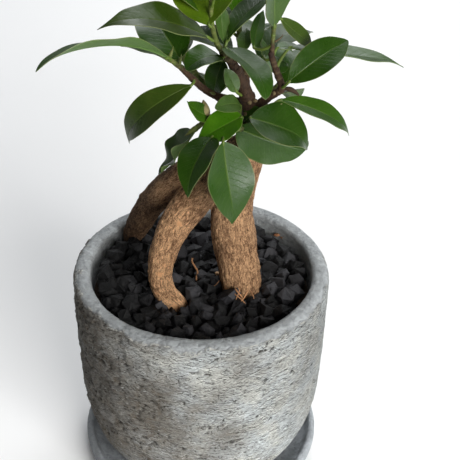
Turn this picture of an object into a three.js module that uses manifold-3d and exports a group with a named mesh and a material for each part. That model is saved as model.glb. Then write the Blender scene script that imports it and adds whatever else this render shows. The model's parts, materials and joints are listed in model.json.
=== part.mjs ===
// A ginseng ficus in a round cast-stone pot on its saucer.
// Thick bark-covered roots stand in charcoal chips and join in a short trunk that carries leafy shoots.
// Millimetres, +Z up. The origin is the centre of the saucer's flat underside, the viewer stands at -Y.

import * as THREE from "three";
import { mergeVertices } from "three/addons/utils/BufferGeometryUtils.js";
import Module from "manifold-3d";

const wasm = await Module();
wasm.setup();

// Driving dimensions.
const GAP = 0.3; // left between pieces that touch
const RIM_RADIUS = 65;
const TOTAL_RIM_HEIGHT = 118; // from the table to the top of the pot's rim
const WALL = 8.7;
const SAUCER_RADIUS = 64;
const SAUCER_HEIGHT = 13;
const SAUCER_FLOOR = 5.5;
const POT_BASE_RADIUS = 37;
const POT_FLOOR = 10;
const DRAIN_RADIUS = 6;
const ROUND_HEIGHT = 50; // height of the pot's rounded lower part
const SOIL_TOP = 103.5;
const CHIP_BED = 2.4; // thickness of the layer that the chips are sunk in
const CHIP_SIZE = 12;
const CHIP_SPACING = 10.4;
const BLADE_THICKNESS = 0.8;
const PETIOLE_RADIUS = 0.85;
const EDGE_SHARE = 0.75; // a leaf's thickness at its edges, as a share of that at its midrib
const STATIONS = [0, 0.11, 0.28, 0.48, 0.68, 0.86, 1]; // where along a blade its rings stand
const ROUND_SIDES = 36;
const UP = new THREE.Vector3(0, 0, 1);

const POT_BASE = SAUCER_FLOOR + GAP;
const INNER_RADIUS = RIM_RADIUS - WALL;
const INNER_BASE_RADIUS = POT_BASE_RADIUS - 6;
const CHIP_TOP = SOIL_TOP + GAP + CHIP_BED;

const finish = (color, roughness) =>
  new THREE.MeshStandardMaterial({ color, roughness, metalness: 0 });
const STONE = finish(0x9a9a94, 0.9);
const SAUCER_STONE = finish(0x6e7478, 0.75);
const SOIL = finish(0x2b211b, 1);
const CHARCOAL = finish(0x1b1b1e, 0.85);
const BARK = finish(0x9a7350, 0.9);
const LEAF = finish(0x2f5c1c, 0.4);

const vec = ([x, y, z]) => new THREE.Vector3(x, y, z);
const rad = THREE.MathUtils.degToRad;

function seeded(seed) {
  let state = seed;
  return () => {
    state = (state * 1664525 + 1013904223) % 4294967296;
    return state / 4294967296;
  };
}

function solidOf(geometry) {
  const bare = geometry.clone();
  bare.deleteAttribute("normal");
  bare.deleteAttribute("uv");
  const merged = mergeVertices(bare, 1e-4);
  return new wasm.Manifold(
    new wasm.Mesh({
      numProp: 3,
      vertProperties: new Float32Array(merged.attributes.position.array),
      triVerts: new Uint32Array(merged.index.array),
    }),
  );
}

function geometryOf(solid) {
  const mesh = solid.getMesh();
  return new THREE.BufferGeometry()
    .setAttribute("position", new THREE.BufferAttribute(new Float32Array(mesh.vertProperties), 3))
    .setIndex(new THREE.BufferAttribute(new Uint32Array(mesh.triVerts), 1));
}

const unionOf = (solids) => solids.reduce((joined, solid) => joined.add(solid));

function piece(name, solid, material) {
  const mesh = new THREE.Mesh(geometryOf(solid), material);
  mesh.name = name;
  return mesh;
}

// A turned solid: profile points are [radius, height], anticlockwise seen with the axis on the left.
function turned(profile, sides = ROUND_SIDES) {
  const points = profile.map(([r, z]) => new THREE.Vector2(r, z));
  const lathe = new THREE.LatheGeometry(points, sides);
  return solidOf(lathe.rotateX(Math.PI / 2));
}

// Points on a quarter of an ellipse, from below its centre to beside it.
function quarter(centreR, centreZ, radiusR, radiusZ, steps) {
  const points = [];
  for (let i = 0; i <= steps; i++) {
    const angle = (Math.PI / 2) * (i / steps);
    points.push([centreR + radiusR * Math.sin(angle), centreZ - radiusZ * Math.cos(angle)]);
  }
  return points;
}

// Roots, stems and petioles: a cylinder bent along a curve through points of [x, y, z, radius].
function limb(points, sides, steps, grow = 0) {
  const curve = new THREE.CatmullRomCurve3(points.map(vec), false, "centripetal");
  const frames = curve.computeFrenetFrames(steps, false);
  const geometry = new THREE.CylinderGeometry(1, 1, 1, sides, steps);
  const position = geometry.attributes.position;
  const last = points.length - 1;
  for (let i = 0; i < position.count; i++) {
    const share = position.getY(i) + 0.5;
    const step = Math.round(share * steps);
    const along = curve.getUtoTmapping(share) * last;
    const from = Math.min(Math.floor(along), last - 1);
    const radius = THREE.MathUtils.lerp(points[from][3], points[from + 1][3], along - from) + grow;
    const at = curve.getPointAt(share);
    at.addScaledVector(frames.normals[step], position.getX(i) * radius);
    at.addScaledVector(frames.binormals[step], position.getZ(i) * radius);
    position.setXYZ(i, at.x, at.y, at.z);
  }
  const solid = solidOf(geometry);
  return solid.volume() > 0 ? solid : solidOf(flipped(geometry));
}

function flipped(geometry) {
  const index = geometry.index.array;
  for (let i = 0; i < index.length; i += 3) [index[i + 1], index[i + 2]] = [index[i + 2], index[i + 1]];
  return geometry;
}

// The blade's half width, as a share of its greatest, from base (0) to tip (1). A larger belly moves its
// widest place towards the tip, a smaller full makes it blunter, and tip narrows its last fifth.
const outline = (t, belly, full, tip) =>
  Math.sin(Math.PI * t ** belly) ** full * (1 - tip * THREE.MathUtils.smoothstep(t, 0.8, 0.97));

// A leaf's own directions: heading is its compass angle (0 to the right, 90 away from the viewer),
// rise is its slope and roll turns it about its length. All are in degrees.
function leafFrame({ heading, rise, roll = 0 }) {
  const along = new THREE.Vector3(
    Math.cos(rad(rise)) * Math.cos(rad(heading)),
    Math.cos(rad(rise)) * Math.sin(rad(heading)),
    Math.sin(rad(rise)),
  );
  const up = UP.clone().addScaledVector(along, -along.z).normalize();
  up.applyAxisAngle(along, rad(roll));
  return { along, up, side: along.clone().cross(up) };
}

// A leaf is one skin over rings of six points: its stalk from the middle of the stem, then its blade.
// The blade is folded along its midrib, arched along its length and curled down at its tip. A hook bends
// the last of the tip down, and a sweep bends the whole blade sideways.
function leafSolid(stemCurve, leaf) {
  const { along, up, side } = leafFrame(leaf);
  const { length, width, arch = 0.1, fold = 14, curl = 0.06, hook = 0, sweep = 0 } = leaf;
  const { belly = 0.85, full = 0.8, tip = 0.3 } = leaf;
  const base = vec(leaf.base);
  const rings = [];
  const addRing = (centre, across, upward, half, lift, thick) => {
    const at = (j, k) => centre.clone().addScaledVector(across, j).addScaledVector(upward, k);
    const edge = thick * EDGE_SHARE;
    rings.push([at(-half, lift + edge), at(0, thick), at(half, lift + edge)]);
    rings[rings.length - 1].push(at(half, lift - edge), at(0, -thick), at(-half, lift - edge));
  };
  for (const t of STATIONS) {
    const stalk = PETIOLE_RADIUS * (1 - 0.4 * t);
    const half = Math.max(stalk, (width / 2) * outline(t, belly, full, tip));
    const thick = THREE.MathUtils.lerp(PETIOLE_RADIUS, BLADE_THICKNESS / 2, Math.min(1, t * 4));
    const rise = length * (arch * 4 * t * (1 - t) - curl * t ** 3 - hook * t ** 8);
    const centre = base.clone().addScaledVector(along, t * length).addScaledVector(up, rise);
    centre.addScaledVector(side, sweep * length * t ** 2);
    addRing(centre, side, up, half, (half - stalk) * Math.tan(rad(fold)), thick);
  }
  const from = stemCurve.getPoint(leaf.at);
  const bend = from.clone().lerp(base, 0.5).addScaledVector(along, -1).addScaledVector(up, -0.8);
  let [across, direction, ahead] = [side, along, base];
  for (const centre of [bend, from]) {
    const next = ahead.clone().sub(centre).normalize();
    across = across.clone().applyQuaternion(new THREE.Quaternion().setFromUnitVectors(direction, next));
    [direction, ahead] = [next, centre];
    addRing(centre, across, across.clone().cross(direction), PETIOLE_RADIUS, 0, PETIOLE_RADIUS);
    rings.unshift(rings.pop());
  }
  return skin(rings);
}

// Closes a row of six-point rings. Both faces of a leaf are split along the same diagonals.
function skin(rings) {
  const index = [1, 0, 5, 1, 5, 4, 1, 4, 2, 2, 4, 3];
  for (let s = 0; s + 1 < rings.length; s++) {
    for (let k = 0; k < 6; k++) {
      const [a, b] = [s * 6 + k, s * 6 + ((k + 1) % 6)];
      const [c, d] = [a + 6, b + 6];
      index.push(...(k === 1 || k === 4 ? [a, b, c, b, d, c] : [a, b, d, a, d, c]));
    }
  }
  const z = (rings.length - 1) * 6;
  index.push(...[0, 1, 5, 5, 1, 4, 4, 1, 2, 4, 2, 3].map((k) => z + k));
  const points = rings.flat().flatMap((p) => [p.x, p.y, p.z]);
  const geometry = new THREE.BufferGeometry();
  geometry.setAttribute("position", new THREE.Float32BufferAttribute(points, 3)).setIndex(index);
  return solidOf(geometry);
}

// A closed shoot tip: a slim spike that carries on from the stem's end.
function bud(stem, length) {
  const [x, y, z, r] = stem[stem.length - 1];
  const before = vec(stem[stem.length - 2]);
  const on = vec([x, y, z]).sub(before).normalize();
  const at = (d, radius) => [x + on.x * d, y + on.y * d, z + on.z * d, radius];
  return limb([at(-1.5, r), at(length * 0.35, r * 1.15), at(length, 0.35)], 5, 3);
}

const twig = (stem, grow = 0) => limb(stem, 6, Math.ceil(stem.length * 1.5), grow);

function shoot({ stem, leaves, budLength = 7 }) {
  const curve = new THREE.CatmullRomCurve3(stem.map(vec), false, "centripetal");
  const parts = [twig(stem), bud(stem, budLength)];
  for (const leaf of leaves) parts.push(leafSolid(curve, leaf));
  return unionOf(parts);
}

// The thick roots and the trunk that they join in: [x, y, z, radius] from the foot up.
const ROOTS = {
  right: [
    [22, -7, 86, 6], [21.5, -7.5, 97, 8.6], [20.5, -8, 107, 9.8], [19, -7.5, 118, 10.5],
    [16.5, -5, 136, 10.8], [14.8, -2, 154, 10.3], [17.4, 1, 170, 10.2], [21, 4, 183, 9.4],
  ],
  middle: [
    [-6, -17.5, 90, 3.4], [-8.5, -18, 99, 4.4], [-12.5, -18, 107, 5.3], [-18, -16.5, 113, 5.8],
    [-20.5, -14.5, 122, 6], [-18.5, -11, 135, 6.9], [-12.5, -6.5, 148, 8], [-4, -2.5, 159, 8.8],
    [6, 1, 169, 9.2], [14, 3, 177, 8.5],
  ],
  back: [
    [-36, 33.5, 90, 3.4], [-37.5, 34.5, 100, 4], [-37.5, 34.5, 108, 4.7], [-35.5, 32.5, 116, 6],
    [-30.5, 27, 130, 6.9], [-24.5, 21, 143, 7.2], [-16, 13, 157, 7.8], [-4, 8, 168, 8.6],
    [8, 5, 176, 8.5],
  ],
};
const TRUNK = [[12, 3, 168, 9.5], [20, 4, 181, 9.8], [23.5, 4, 190, 6.8], [24, 3, 197, 4.9]];

const rootsAndTrunk = (grow = 0) =>
  unionOf([
    ...Object.values(ROOTS).map((root) => limb(root, 12, 14, grow)),
    limb(TRUNK, 12, 5, grow),
  ]);

// The leafy shoots. A stem is [x, y, z, radius] from where it leaves the wood to its tip.
// A leaf grows at a share of its stem's length (at), and its blade starts at base.
const SHOOTS = {
  main_shoot: {
    stem: [
      [24, 3, 197.3, 4.6], [22, 2, 207, 4.1], [20, 1, 215, 3.2], [17, 0, 223, 2.7], [12, -1, 233, 2],
      [7, -3, 240, 1.2], [5, -5, 247, 1.1], [4, -7, 254, 1], [4, -8, 263, 1], [5, -8, 269, 0.9],
    ],
    leaves: [
      {
        at: 0.6, base: [2, -6, 245.5], heading: 197, rise: 19, length: 47.5, width: 21.5, roll: -12,
        arch: 0.06, curl: 0.07, hook: 0.1, full: 0.84, belly: 0.76, tip: 0.5,
      },
      {
        at: 0.5, base: [9, -4, 234.5], heading: 207, rise: -5, length: 18, width: 17, roll: -4,
        arch: 0.15, curl: 0.03, full: 0.51, belly: 1.06, tip: -0.02,
      },
      {
        at: 0.47, base: [10.5, -5, 239.5], heading: 305, rise: -6, length: 33.5, width: 17, roll: -14,
        arch: 0.02, hook: 0.16, sweep: 0.03, full: 0.5, belly: 0.9, tip: -0.15,
      },
      {
        at: 0.75, base: [3, -10, 252.5], heading: 94, rise: 47, length: 32, width: 29.5, roll: -28,
        arch: -0.03, sweep: -0.1, belly: 0.91,
      },
      {
        at: 0.5, base: [11, 0, 240.5], heading: 49, rise: 24, length: 32.5, width: 17.5, roll: -15,
        arch: 0.08, curl: -0.03, sweep: 0.14, full: 1, belly: 1.3,
      },
      {
        at: 0.55, base: [10.5, 1, 238.5], heading: 107, rise: 67, length: 17.5, width: 8.5, roll: 27,
        arch: -0.09, curl: 0, sweep: 0.04, full: 0.84, belly: 1.15,
      },
      {
        at: 0.38, base: [9.5, 9, 227], heading: 176, rise: -76, length: 19.5, width: 11.5, roll: -69,
        arch: 0.09, sweep: -0.02, full: 0.73, belly: 0.7,
      },
      {
        at: 0.2, base: [15.5, -5, 218.5], heading: 179, rise: 69, length: 12.5, width: 7, roll: -58,
        arch: -0.03, curl: 0.02, sweep: -0.06, full: 0.55, belly: 0.81, tip: 0.19,
      },
      { at: 0.7, base: [2, -1, 253], heading: 155, rise: 28, length: 36, width: 19, roll: 0 },
      { at: 0.85, base: [5, -12, 265], heading: 285, rise: 32, length: 34, width: 18, roll: 0 },
      { at: 0.92, base: [8, -8, 269], heading: 25, rise: 38, length: 35, width: 18, roll: 0 },
      { at: 0.96, base: [2, -7, 270], heading: 190, rise: 48, length: 30, width: 16, roll: 0 },
      {
        at: 0.46, base: [19.5, 14, 230], heading: 83, rise: 37, length: 12, width: 7, roll: -13,
        full: 0.72, belly: 0.7,
      },
    ],
  },
  left_shoot: {
    stem: [
      [20, 2, 209, 2], [13, 4, 210, 1.8], [6, 4, 212, 1.7], [0, 2, 217, 1.6], [-5, 0, 223, 1.4],
      [-11, -3, 230.5, 1.1], [-16, -6, 235.5, 0.9],
    ],
    leaves: [
      {
        at: 0.95, base: [-15, -8, 236.5], heading: 226, rise: 1, length: 61, width: 18.5, roll: 24,
        arch: 0.2, curl: -0.3, hook: 0.09, sweep: 0.15, belly: 1.05, tip: 0.05,
      },
      {
        at: 0.85, base: [-10, 1, 231.5], heading: 120, rise: 19, length: 36.5, width: 23, roll: -17,
        sweep: 0.02, full: 0.55, belly: 0.82,
      },
      {
        at: 0.65, base: [-5, -3.5, 220.5], heading: 176, rise: -44, length: 46, width: 16, roll: -43,
        arch: 0.15, curl: 0.08, hook: 0.1, sweep: 0.05, full: 0.72, belly: 0.94, tip: 0.38,
      },
    ],
  },
  right_shoot: {
    stem: [
      [24, 2, 206, 2.4], [30, 0, 213, 2], [36, -2, 219, 1.7], [34, 0, 225, 1.5], [31.5, 2, 232, 1.2],
      [31.5, 3, 240, 0.9], [32, 3, 248, 0.9],
    ],
    leaves: [
      {
        at: 0.97, base: [31.5, -1, 248.5], heading: 205, rise: 87, length: 26, width: 21, roll: -60,
        arch: 0, curl: -0.07, sweep: -0.03, full: 0.68, belly: 1.01,
      },
      {
        at: 0.88, base: [34.5, 4, 250], heading: 22, rise: -44, length: 25, width: 9, roll: 48,
        arch: -0.03, curl: 0.04, hook: 0.05, sweep: -0.1, full: 0.67, belly: 1.04, tip: 0.11,
      },
      {
        at: 0.33, base: [39, -6, 224], heading: 26, rise: 27, length: 33.5, width: 16, roll: 35,
        arch: 0.06, curl: 0.07, full: 0.59, belly: 1.01, tip: 0.18,
      },
      {
        at: 0.55, base: [40, 8, 234.5], heading: 15, rise: -12, length: 60.5, width: 17.5, roll: -2,
        arch: -0.02, curl: 0.02, hook: 0.06, sweep: -0.02, belly: 0.97,
      },
      {
        at: 0.62, base: [34, 7, 234.5], heading: 25, rise: -5, length: 12, width: 7, roll: 8,
        arch: 0, curl: 0.04, sweep: -0.05, belly: 0.76,
      },
      {
        at: 0.48, base: [34.5, 6, 222.5], heading: 93, rise: 20, length: 12, width: 10.5, roll: 39,
        arch: 0.11, belly: 0.8,
      },
      {
        at: 0.78, base: [23.5, 8, 234], heading: 82, rise: 34, length: 22, width: 7, roll: 35,
        arch: -0.02, curl: 0.05, sweep: 0.15, full: 0.65,
      },
      {
        at: 0.66, base: [28, 6, 230.5], heading: 91, rise: 34, length: 10, width: 6, roll: 52,
        arch: -0.01, curl: 0.04, sweep: 0.05, belly: 0.77,
      },
    ],
  },
  lower_right_shoot: {
    stem: [[24, 1, 201, 2.1], [28, -4, 206, 1.8], [32, -6, 210, 1.5]],
    leaves: [
      {
        at: 0.95, base: [35.5, -6, 215], heading: 13, rise: -31, length: 42.5, width: 13, roll: 23,
        arch: 0.08, curl: -0.02, hook: 0.08, sweep: -0.02, full: 0.76, belly: 1.01, tip: 0.12,
      },
      {
        at: 0.75, base: [21.5, -16, 211], heading: 352, rise: -22, length: 30.5, width: 26.5, roll: 14,
        arch: 0.05, curl: 0.04, hook: 0.17, sweep: -0.1, full: 0.68, tip: -0.03,
      },
    ],
  },
  front_shoot: {
    stem: [[21, 1, 199, 2.3], [17, -5, 200.5, 1.9], [13, -9, 201, 1.5], [9, -12, 200.5, 1.1]],
    leaves: [
      {
        at: 0.35, base: [16.5, -6, 200.5], heading: 9, rise: -32, length: 36.5, width: 24, roll: 95,
        arch: -0.03, sweep: -0.12, full: 0.55, belly: 0.96, tip: -0.19,
      },
      {
        at: 0.55, base: [18, -12, 209.5], heading: 186, rise: -28, length: 23.5, width: 16, roll: -30,
        arch: 0, full: 0.73, belly: 0.7, tip: 0.19,
      },
      {
        at: 0.75, base: [9.5, -21, 201.5], heading: 298, rise: -71, length: 40, width: 26, roll: -10,
        arch: -0.03, curl: 0.03, hook: 0.09, sweep: -0.04, full: 0.85, belly: 0.81, tip: 0.22,
      },
      {
        at: 0.98, base: [4.5, -16, 201], heading: 243, rise: -28, length: 30.5, width: 19, roll: 15,
        arch: 0.07, hook: 0.06, full: 0.74, belly: 0.7, tip: 0.16,
      },
      {
        at: 0.3, base: [17.5, -3, 210.5], heading: 231, rise: 25, length: 23, width: 8.5, roll: -49,
        arch: 0.07, curl: -0.03, sweep: -0.13, full: 0.5, belly: 0.99, tip: 0.1,
      },
      {
        at: 0.12, base: [20, -3.5, 202.5], heading: 8, rise: 44, length: 10, width: 8, roll: 29,
        belly: 0.8,
      },
    ],
    budLength: 3,
  },
  low_left_shoot: {
    stem: [[17, 2, 196, 1.8], [9, -1, 201, 1.6], [2, -3, 202, 1.4], [-3, -4, 199, 1.1]],
    leaves: [
      {
        at: 0.6, base: [4, -4.5, 205.5], heading: 225, rise: 34, length: 19, width: 8.5, roll: -69,
        arch: -0.07, curl: -0.02, sweep: 0.14, full: 1, belly: 0.7, tip: 0.33,
      },
      {
        at: 0.95, base: [-4, -5, 197.5], heading: 177, rise: -61, length: 29, width: 22, roll: -2,
        arch: 0, fold: 24, curl: -0.1, sweep: 0.05, full: 0.74, belly: 0.76, tip: 0.1,
      },
    ],
  },
  back_shoot: {
    stem: [[20, 3, 213, 2.2], [20, 14, 220, 1.9], [18, 24, 229, 1.6], [17, 30, 238, 1.2]],
    leaves: [
      { at: 0.3, base: [26, 17, 225], heading: 40, rise: 8, length: 36, width: 19, roll: 0 },
      { at: 0.45, base: [14, 22, 226], heading: 142, rise: -3, length: 37, width: 20, roll: 0 },
      { at: 0.6, base: [22, 28, 230], heading: 75, rise: -15, length: 40, width: 20, roll: 0 },
      { at: 0.75, base: [13, 30, 234], heading: 125, rise: 8, length: 38, width: 19, roll: 0 },
      { at: 0.95, base: [19, 33, 240], heading: 60, rise: 30, length: 36, width: 19, roll: 0 },
      { at: 0.98, base: [15, 30, 242], heading: 150, rise: 45, length: 34, width: 17, roll: 0 },
    ],
  },
  back_right_shoot: {
    stem: [[24, 4, 203, 2], [31, 13, 206, 1.7], [37, 20, 210, 1.3]],
    leaves: [
      { at: 0.5, base: [27, 14, 203], heading: 100, rise: -40, length: 36, width: 19, roll: 0 },
      { at: 0.6, base: [34, 18, 205], heading: 68, rise: -28, length: 38, width: 19, roll: 0 },
      { at: 0.9, base: [40, 19, 211], heading: 58, rise: 8, length: 34, width: 18, roll: 0 },
      { at: 0.98, base: [37, 24, 212], heading: 98, rise: 2, length: 36, width: 18, roll: 0 },
    ],
  },
  back_left_shoot: {
    stem: [[20, 3, 205, 2.2], [9, 12, 206, 1.9], [-1, 21, 212, 1.6], [-9, 27, 220, 1.3]],
    leaves: [
      { at: 0.55, base: [5, 23, 211], heading: 84, rise: -36, length: 38, width: 19, roll: 0 },
      { at: 0.8, base: [-10, 21, 219], heading: 165, rise: 15, length: 30, width: 18, roll: 0 },
      { at: 0.93, base: [-8, 31, 221], heading: 112, rise: -22, length: 38, width: 19, roll: 0 },
      { at: 0.96, base: [-13, 28, 223], heading: 142, rise: 20, length: 34, width: 17, roll: 0 },
    ],
  },
};

function saucer() {
  const [r, h, f] = [SAUCER_RADIUS, SAUCER_HEIGHT, SAUCER_FLOOR];
  return turned([
    [0, 0], [r - 8, 0], [r - 3.5, 1.5], [r - 0.8, 5.5], [r, h - 2.5], [r - 0.6, h - 0.6], [r - 2, h],
    [r - 3.4, h - 0.6], [r - 4, h - 2.5], [r - 5.5, f + 1.5], [r - 9, f], [0, f],
  ]);
}

function pot() {
  const shoulder = POT_BASE + ROUND_HEIGHT;
  const inside = POT_BASE + POT_FLOOR;
  const top = TOTAL_RIM_HEIGHT;
  const outer = RIM_RADIUS - 1.2 - POT_BASE_RADIUS;
  const inner = INNER_RADIUS - 0.7 - INNER_BASE_RADIUS;
  return turned([
    [DRAIN_RADIUS, POT_BASE],
    ...quarter(POT_BASE_RADIUS, shoulder, outer, ROUND_HEIGHT, 7),
    [RIM_RADIUS - 0.2, (shoulder + top) / 2], [RIM_RADIUS, top - 8], [RIM_RADIUS - 0.4, top - 3],
    [RIM_RADIUS - 2.2, top - 0.5], [RIM_RADIUS - 4, top], [INNER_RADIUS + 1.6, top - 0.2],
    [INNER_RADIUS + 0.2, top - 1.6], [INNER_RADIUS, top - 5], [INNER_RADIUS - 0.5, shoulder],
    ...quarter(INNER_BASE_RADIUS, shoulder, inner, shoulder - inside, 5).reverse().slice(1),
    [DRAIN_RADIUS, inside], [DRAIN_RADIUS, POT_BASE],
  ]);
}

function soil(rootHoles) {
  const shoulder = POT_BASE + ROUND_HEIGHT;
  const inside = POT_BASE + POT_FLOOR + GAP;
  const widest = INNER_RADIUS - 0.8 - GAP;
  const body = turned([
    [0, inside],
    ...quarter(INNER_BASE_RADIUS, shoulder, widest - INNER_BASE_RADIUS - GAP, shoulder - inside, 4),
    [widest, SOIL_TOP - 1], [widest - 2, SOIL_TOP], [0, SOIL_TOP],
  ]);
  return body.subtract(rootHoles);
}

// Broken charcoal chips: each is an eight-sided block with its corners knocked about, sunk in a thin bed.
function chips(rootHoles) {
  const random = seeded(5);
  const spread = (amount) => (random() - 0.5) * 2 * amount;
  const edge = INNER_RADIUS - 1;
  const bed = SOIL_TOP + GAP;
  const parts = [turned([[0, bed], [edge, bed], [edge, CHIP_TOP], [0, CHIP_TOP]], ROUND_SIDES)];
  const rowHeight = CHIP_SPACING * Math.sqrt(0.75);
  const rows = Math.ceil(edge / rowHeight);
  for (let row = -rows; row <= rows; row++) {
    for (let column = -rows; column <= rows; column++) {
      const x = (column + (row & 1) / 2) * CHIP_SPACING + spread(0.8);
      const y = row * rowHeight + spread(0.8);
      const chip = new THREE.OctahedronGeometry(CHIP_SIZE / 2);
      chip.deleteAttribute("uv");
      chip.deleteAttribute("normal");
      const block = mergeVertices(chip);
      const corners = block.attributes.position;
      for (let i = 0; i < corners.count; i++) {
        const [px, py, pz] = [corners.getX(i), corners.getY(i), corners.getZ(i)];
        corners.setXYZ(i, px + spread(1.2), py + spread(1.2), pz + spread(1.2));
      }
      block.rotateX(spread(0.8)).rotateY(spread(0.8)).rotateZ(spread(Math.PI));
      block.scale(1, 1, 0.65).translate(x, y, CHIP_TOP + spread(0.6));
      if (Math.hypot(x, y) < edge - CHIP_SIZE * 0.62) parts.push(solidOf(block));
    }
  }
  const room = turned([[0, bed], [RIM_RADIUS, bed], [RIM_RADIUS, bed + 20], [0, bed + 20]], ROUND_SIDES);
  const whole = unionOf(parts).intersect(room).subtract(rootHoles);
  return whole.decompose().sort((a, b) => b.volume() - a.volume())[0];
}

const ficus = new THREE.Group();
ficus.name = "ginseng_ficus";

const wood = rootsAndTrunk();
const rootHoles = rootsAndTrunk(GAP + 0.1);
const mainStem = twig(SHOOTS.main_shoot.stem, GAP);

ficus.add(
  piece("saucer", saucer(), SAUCER_STONE),
  piece("pot", pot(), STONE),
  piece("soil", soil(rootHoles), SOIL),
  piece("charcoal_chips", chips(rootHoles), CHARCOAL),
  piece("roots_and_trunk", wood, BARK),
);
for (const [name, plan] of Object.entries(SHOOTS)) {
  const free = shoot(plan).subtract(rootHoles);
  ficus.add(piece(name, name === "main_shoot" ? free : free.subtract(mainStem), LEAF));
}

export default ficus;
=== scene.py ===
"""A finished ginseng ficus in its pot: stone, charcoal chips, bark-covered roots and leafy shoots.

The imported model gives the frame. Lengths in the tables are millimetres, +Z is up and the viewer stands at -Y.
"""

import json
import math
import random
from typing import NamedTuple

import bmesh
import bpy
import numpy as np
from mathutils import Matrix, Vector, noise

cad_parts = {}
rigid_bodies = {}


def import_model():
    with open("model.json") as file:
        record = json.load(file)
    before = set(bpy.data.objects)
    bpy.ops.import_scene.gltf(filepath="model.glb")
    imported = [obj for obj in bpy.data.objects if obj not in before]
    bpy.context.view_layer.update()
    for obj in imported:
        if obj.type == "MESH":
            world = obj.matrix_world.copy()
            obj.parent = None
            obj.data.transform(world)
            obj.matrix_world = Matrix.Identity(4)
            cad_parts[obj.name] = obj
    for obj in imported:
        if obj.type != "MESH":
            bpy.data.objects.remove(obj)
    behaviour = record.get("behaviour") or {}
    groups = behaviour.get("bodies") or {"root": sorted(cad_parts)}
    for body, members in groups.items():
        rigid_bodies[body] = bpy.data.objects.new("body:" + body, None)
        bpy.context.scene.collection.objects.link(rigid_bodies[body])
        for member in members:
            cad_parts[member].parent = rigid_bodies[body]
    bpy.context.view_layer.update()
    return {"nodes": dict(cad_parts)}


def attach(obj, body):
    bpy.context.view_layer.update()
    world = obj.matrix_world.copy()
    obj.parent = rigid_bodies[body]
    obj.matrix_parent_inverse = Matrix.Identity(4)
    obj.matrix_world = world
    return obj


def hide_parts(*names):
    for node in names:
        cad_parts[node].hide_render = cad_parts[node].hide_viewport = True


bl_info = {
    "name": "Potted ginseng ficus",
    "version": (1, 0, 0),
    "blender": (4, 5, 0),
    "location": "View3D > Sidebar > Ficus",
    "description": "Builds a ginseng ficus in a stone pot, piece by piece",
    "category": "Add Mesh",
}

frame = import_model()

MM = 0.001
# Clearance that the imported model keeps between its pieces, and the saucer's floor under the pot.
GAP = 0.3
SAUCER_FLOOR = 5.5
# Columns of points round the turned pieces, and sides of the round limbs.
POT_COLUMNS, SAUCER_COLUMNS = 470, 300
ROOT_SIDES, TWIG_SIDES, BUD_SIDES, STALK_SIDES, FIBRE_SIDES = 40, 18, 12, 9, 7
# Steps of length along the roots' cores and along the twigs.
CORE_STEP, TWIG_STEP = 0.8, 0.55
# Side veins of a blade: how many there are, and how far each runs ahead on its way to the margin.
VEIN_BEATS, VEIN_SLANT = 13.0, 2.6
# The photograph's camera, fitted to the pot: width and focal length in pixels, place in metres
# and angles in degrees.
PHOTO_WIDTH, FOCAL_LENGTH = 460.0, 1037.0
EYE, PITCH, YAW, TILT = (0.0, -0.42535, 0.42999), 34.3, 1.9, 1.2
# The floor's half width and its level just below the saucer, in metres.
FLOOR_HALF, FLOOR_LEVEL = 6.0, -0.0002


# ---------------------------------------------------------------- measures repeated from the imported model

# The thick roots and the trunk that they join in: (x, y, z, radius) from the foot up.
ROOTS = {
    "right": [
        (22, -7, 86, 6), (21.5, -7.5, 97, 8.6), (20.5, -8, 107, 9.8), (19, -7.5, 118, 10.5),
        (16.5, -5, 136, 10.8), (14.8, -2, 154, 10.3), (17.4, 1, 170, 10.2), (21, 4, 183, 9.4),
    ],
    "middle": [
        (-6, -17.5, 90, 3.4), (-8.5, -18, 99, 4.4), (-12.5, -18, 107, 5.3), (-18, -16.5, 113, 5.8),
        (-20.5, -14.5, 122, 6), (-18.5, -11, 135, 6.9), (-12.5, -6.5, 148, 8), (-4, -2.5, 159, 8.8),
        (6, 1, 169, 9.2), (14, 3, 177, 8.5),
    ],
    "back": [
        (-36, 33.5, 90, 3.4), (-37.5, 34.5, 100, 4), (-37.5, 34.5, 108, 4.7), (-35.5, 32.5, 116, 6),
        (-30.5, 27, 130, 6.9), (-24.5, 21, 143, 7.2), (-16, 13, 157, 7.8), (-4, 8, 168, 8.6),
        (8, 5, 176, 8.5),
    ],
}
TRUNK = [(12, 3, 168, 9.5), (20, 4, 181, 9.8), (23.5, 4, 190, 6.8), (24, 3, 197, 4.9)]


class Leaf(NamedTuple):
    """One leaf: where it grows, which way its blade points, its size in millimetres and its look."""

    at: float
    base: tuple
    heading: float
    rise: float
    length: float
    width: float
    roll: float = 0.0
    arch: float = 0.1
    tone: str = "deep"
    wave: float = 0.035
    sweep: float = 0.0
    tip: float = 0.3
    fold: float = 14.0
    curl: float = 0.06
    hook: float = 0.0
    full: float = 0.8
    belly: float = 0.85


class Shoot(NamedTuple):
    """A twig with its leaves. Its bark is brown up to the share green_from of its length."""

    stem: tuple
    leaves: tuple
    green_from: float = 0.5
    bud_length: float = 7.0
    dark: float = 0.25


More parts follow.
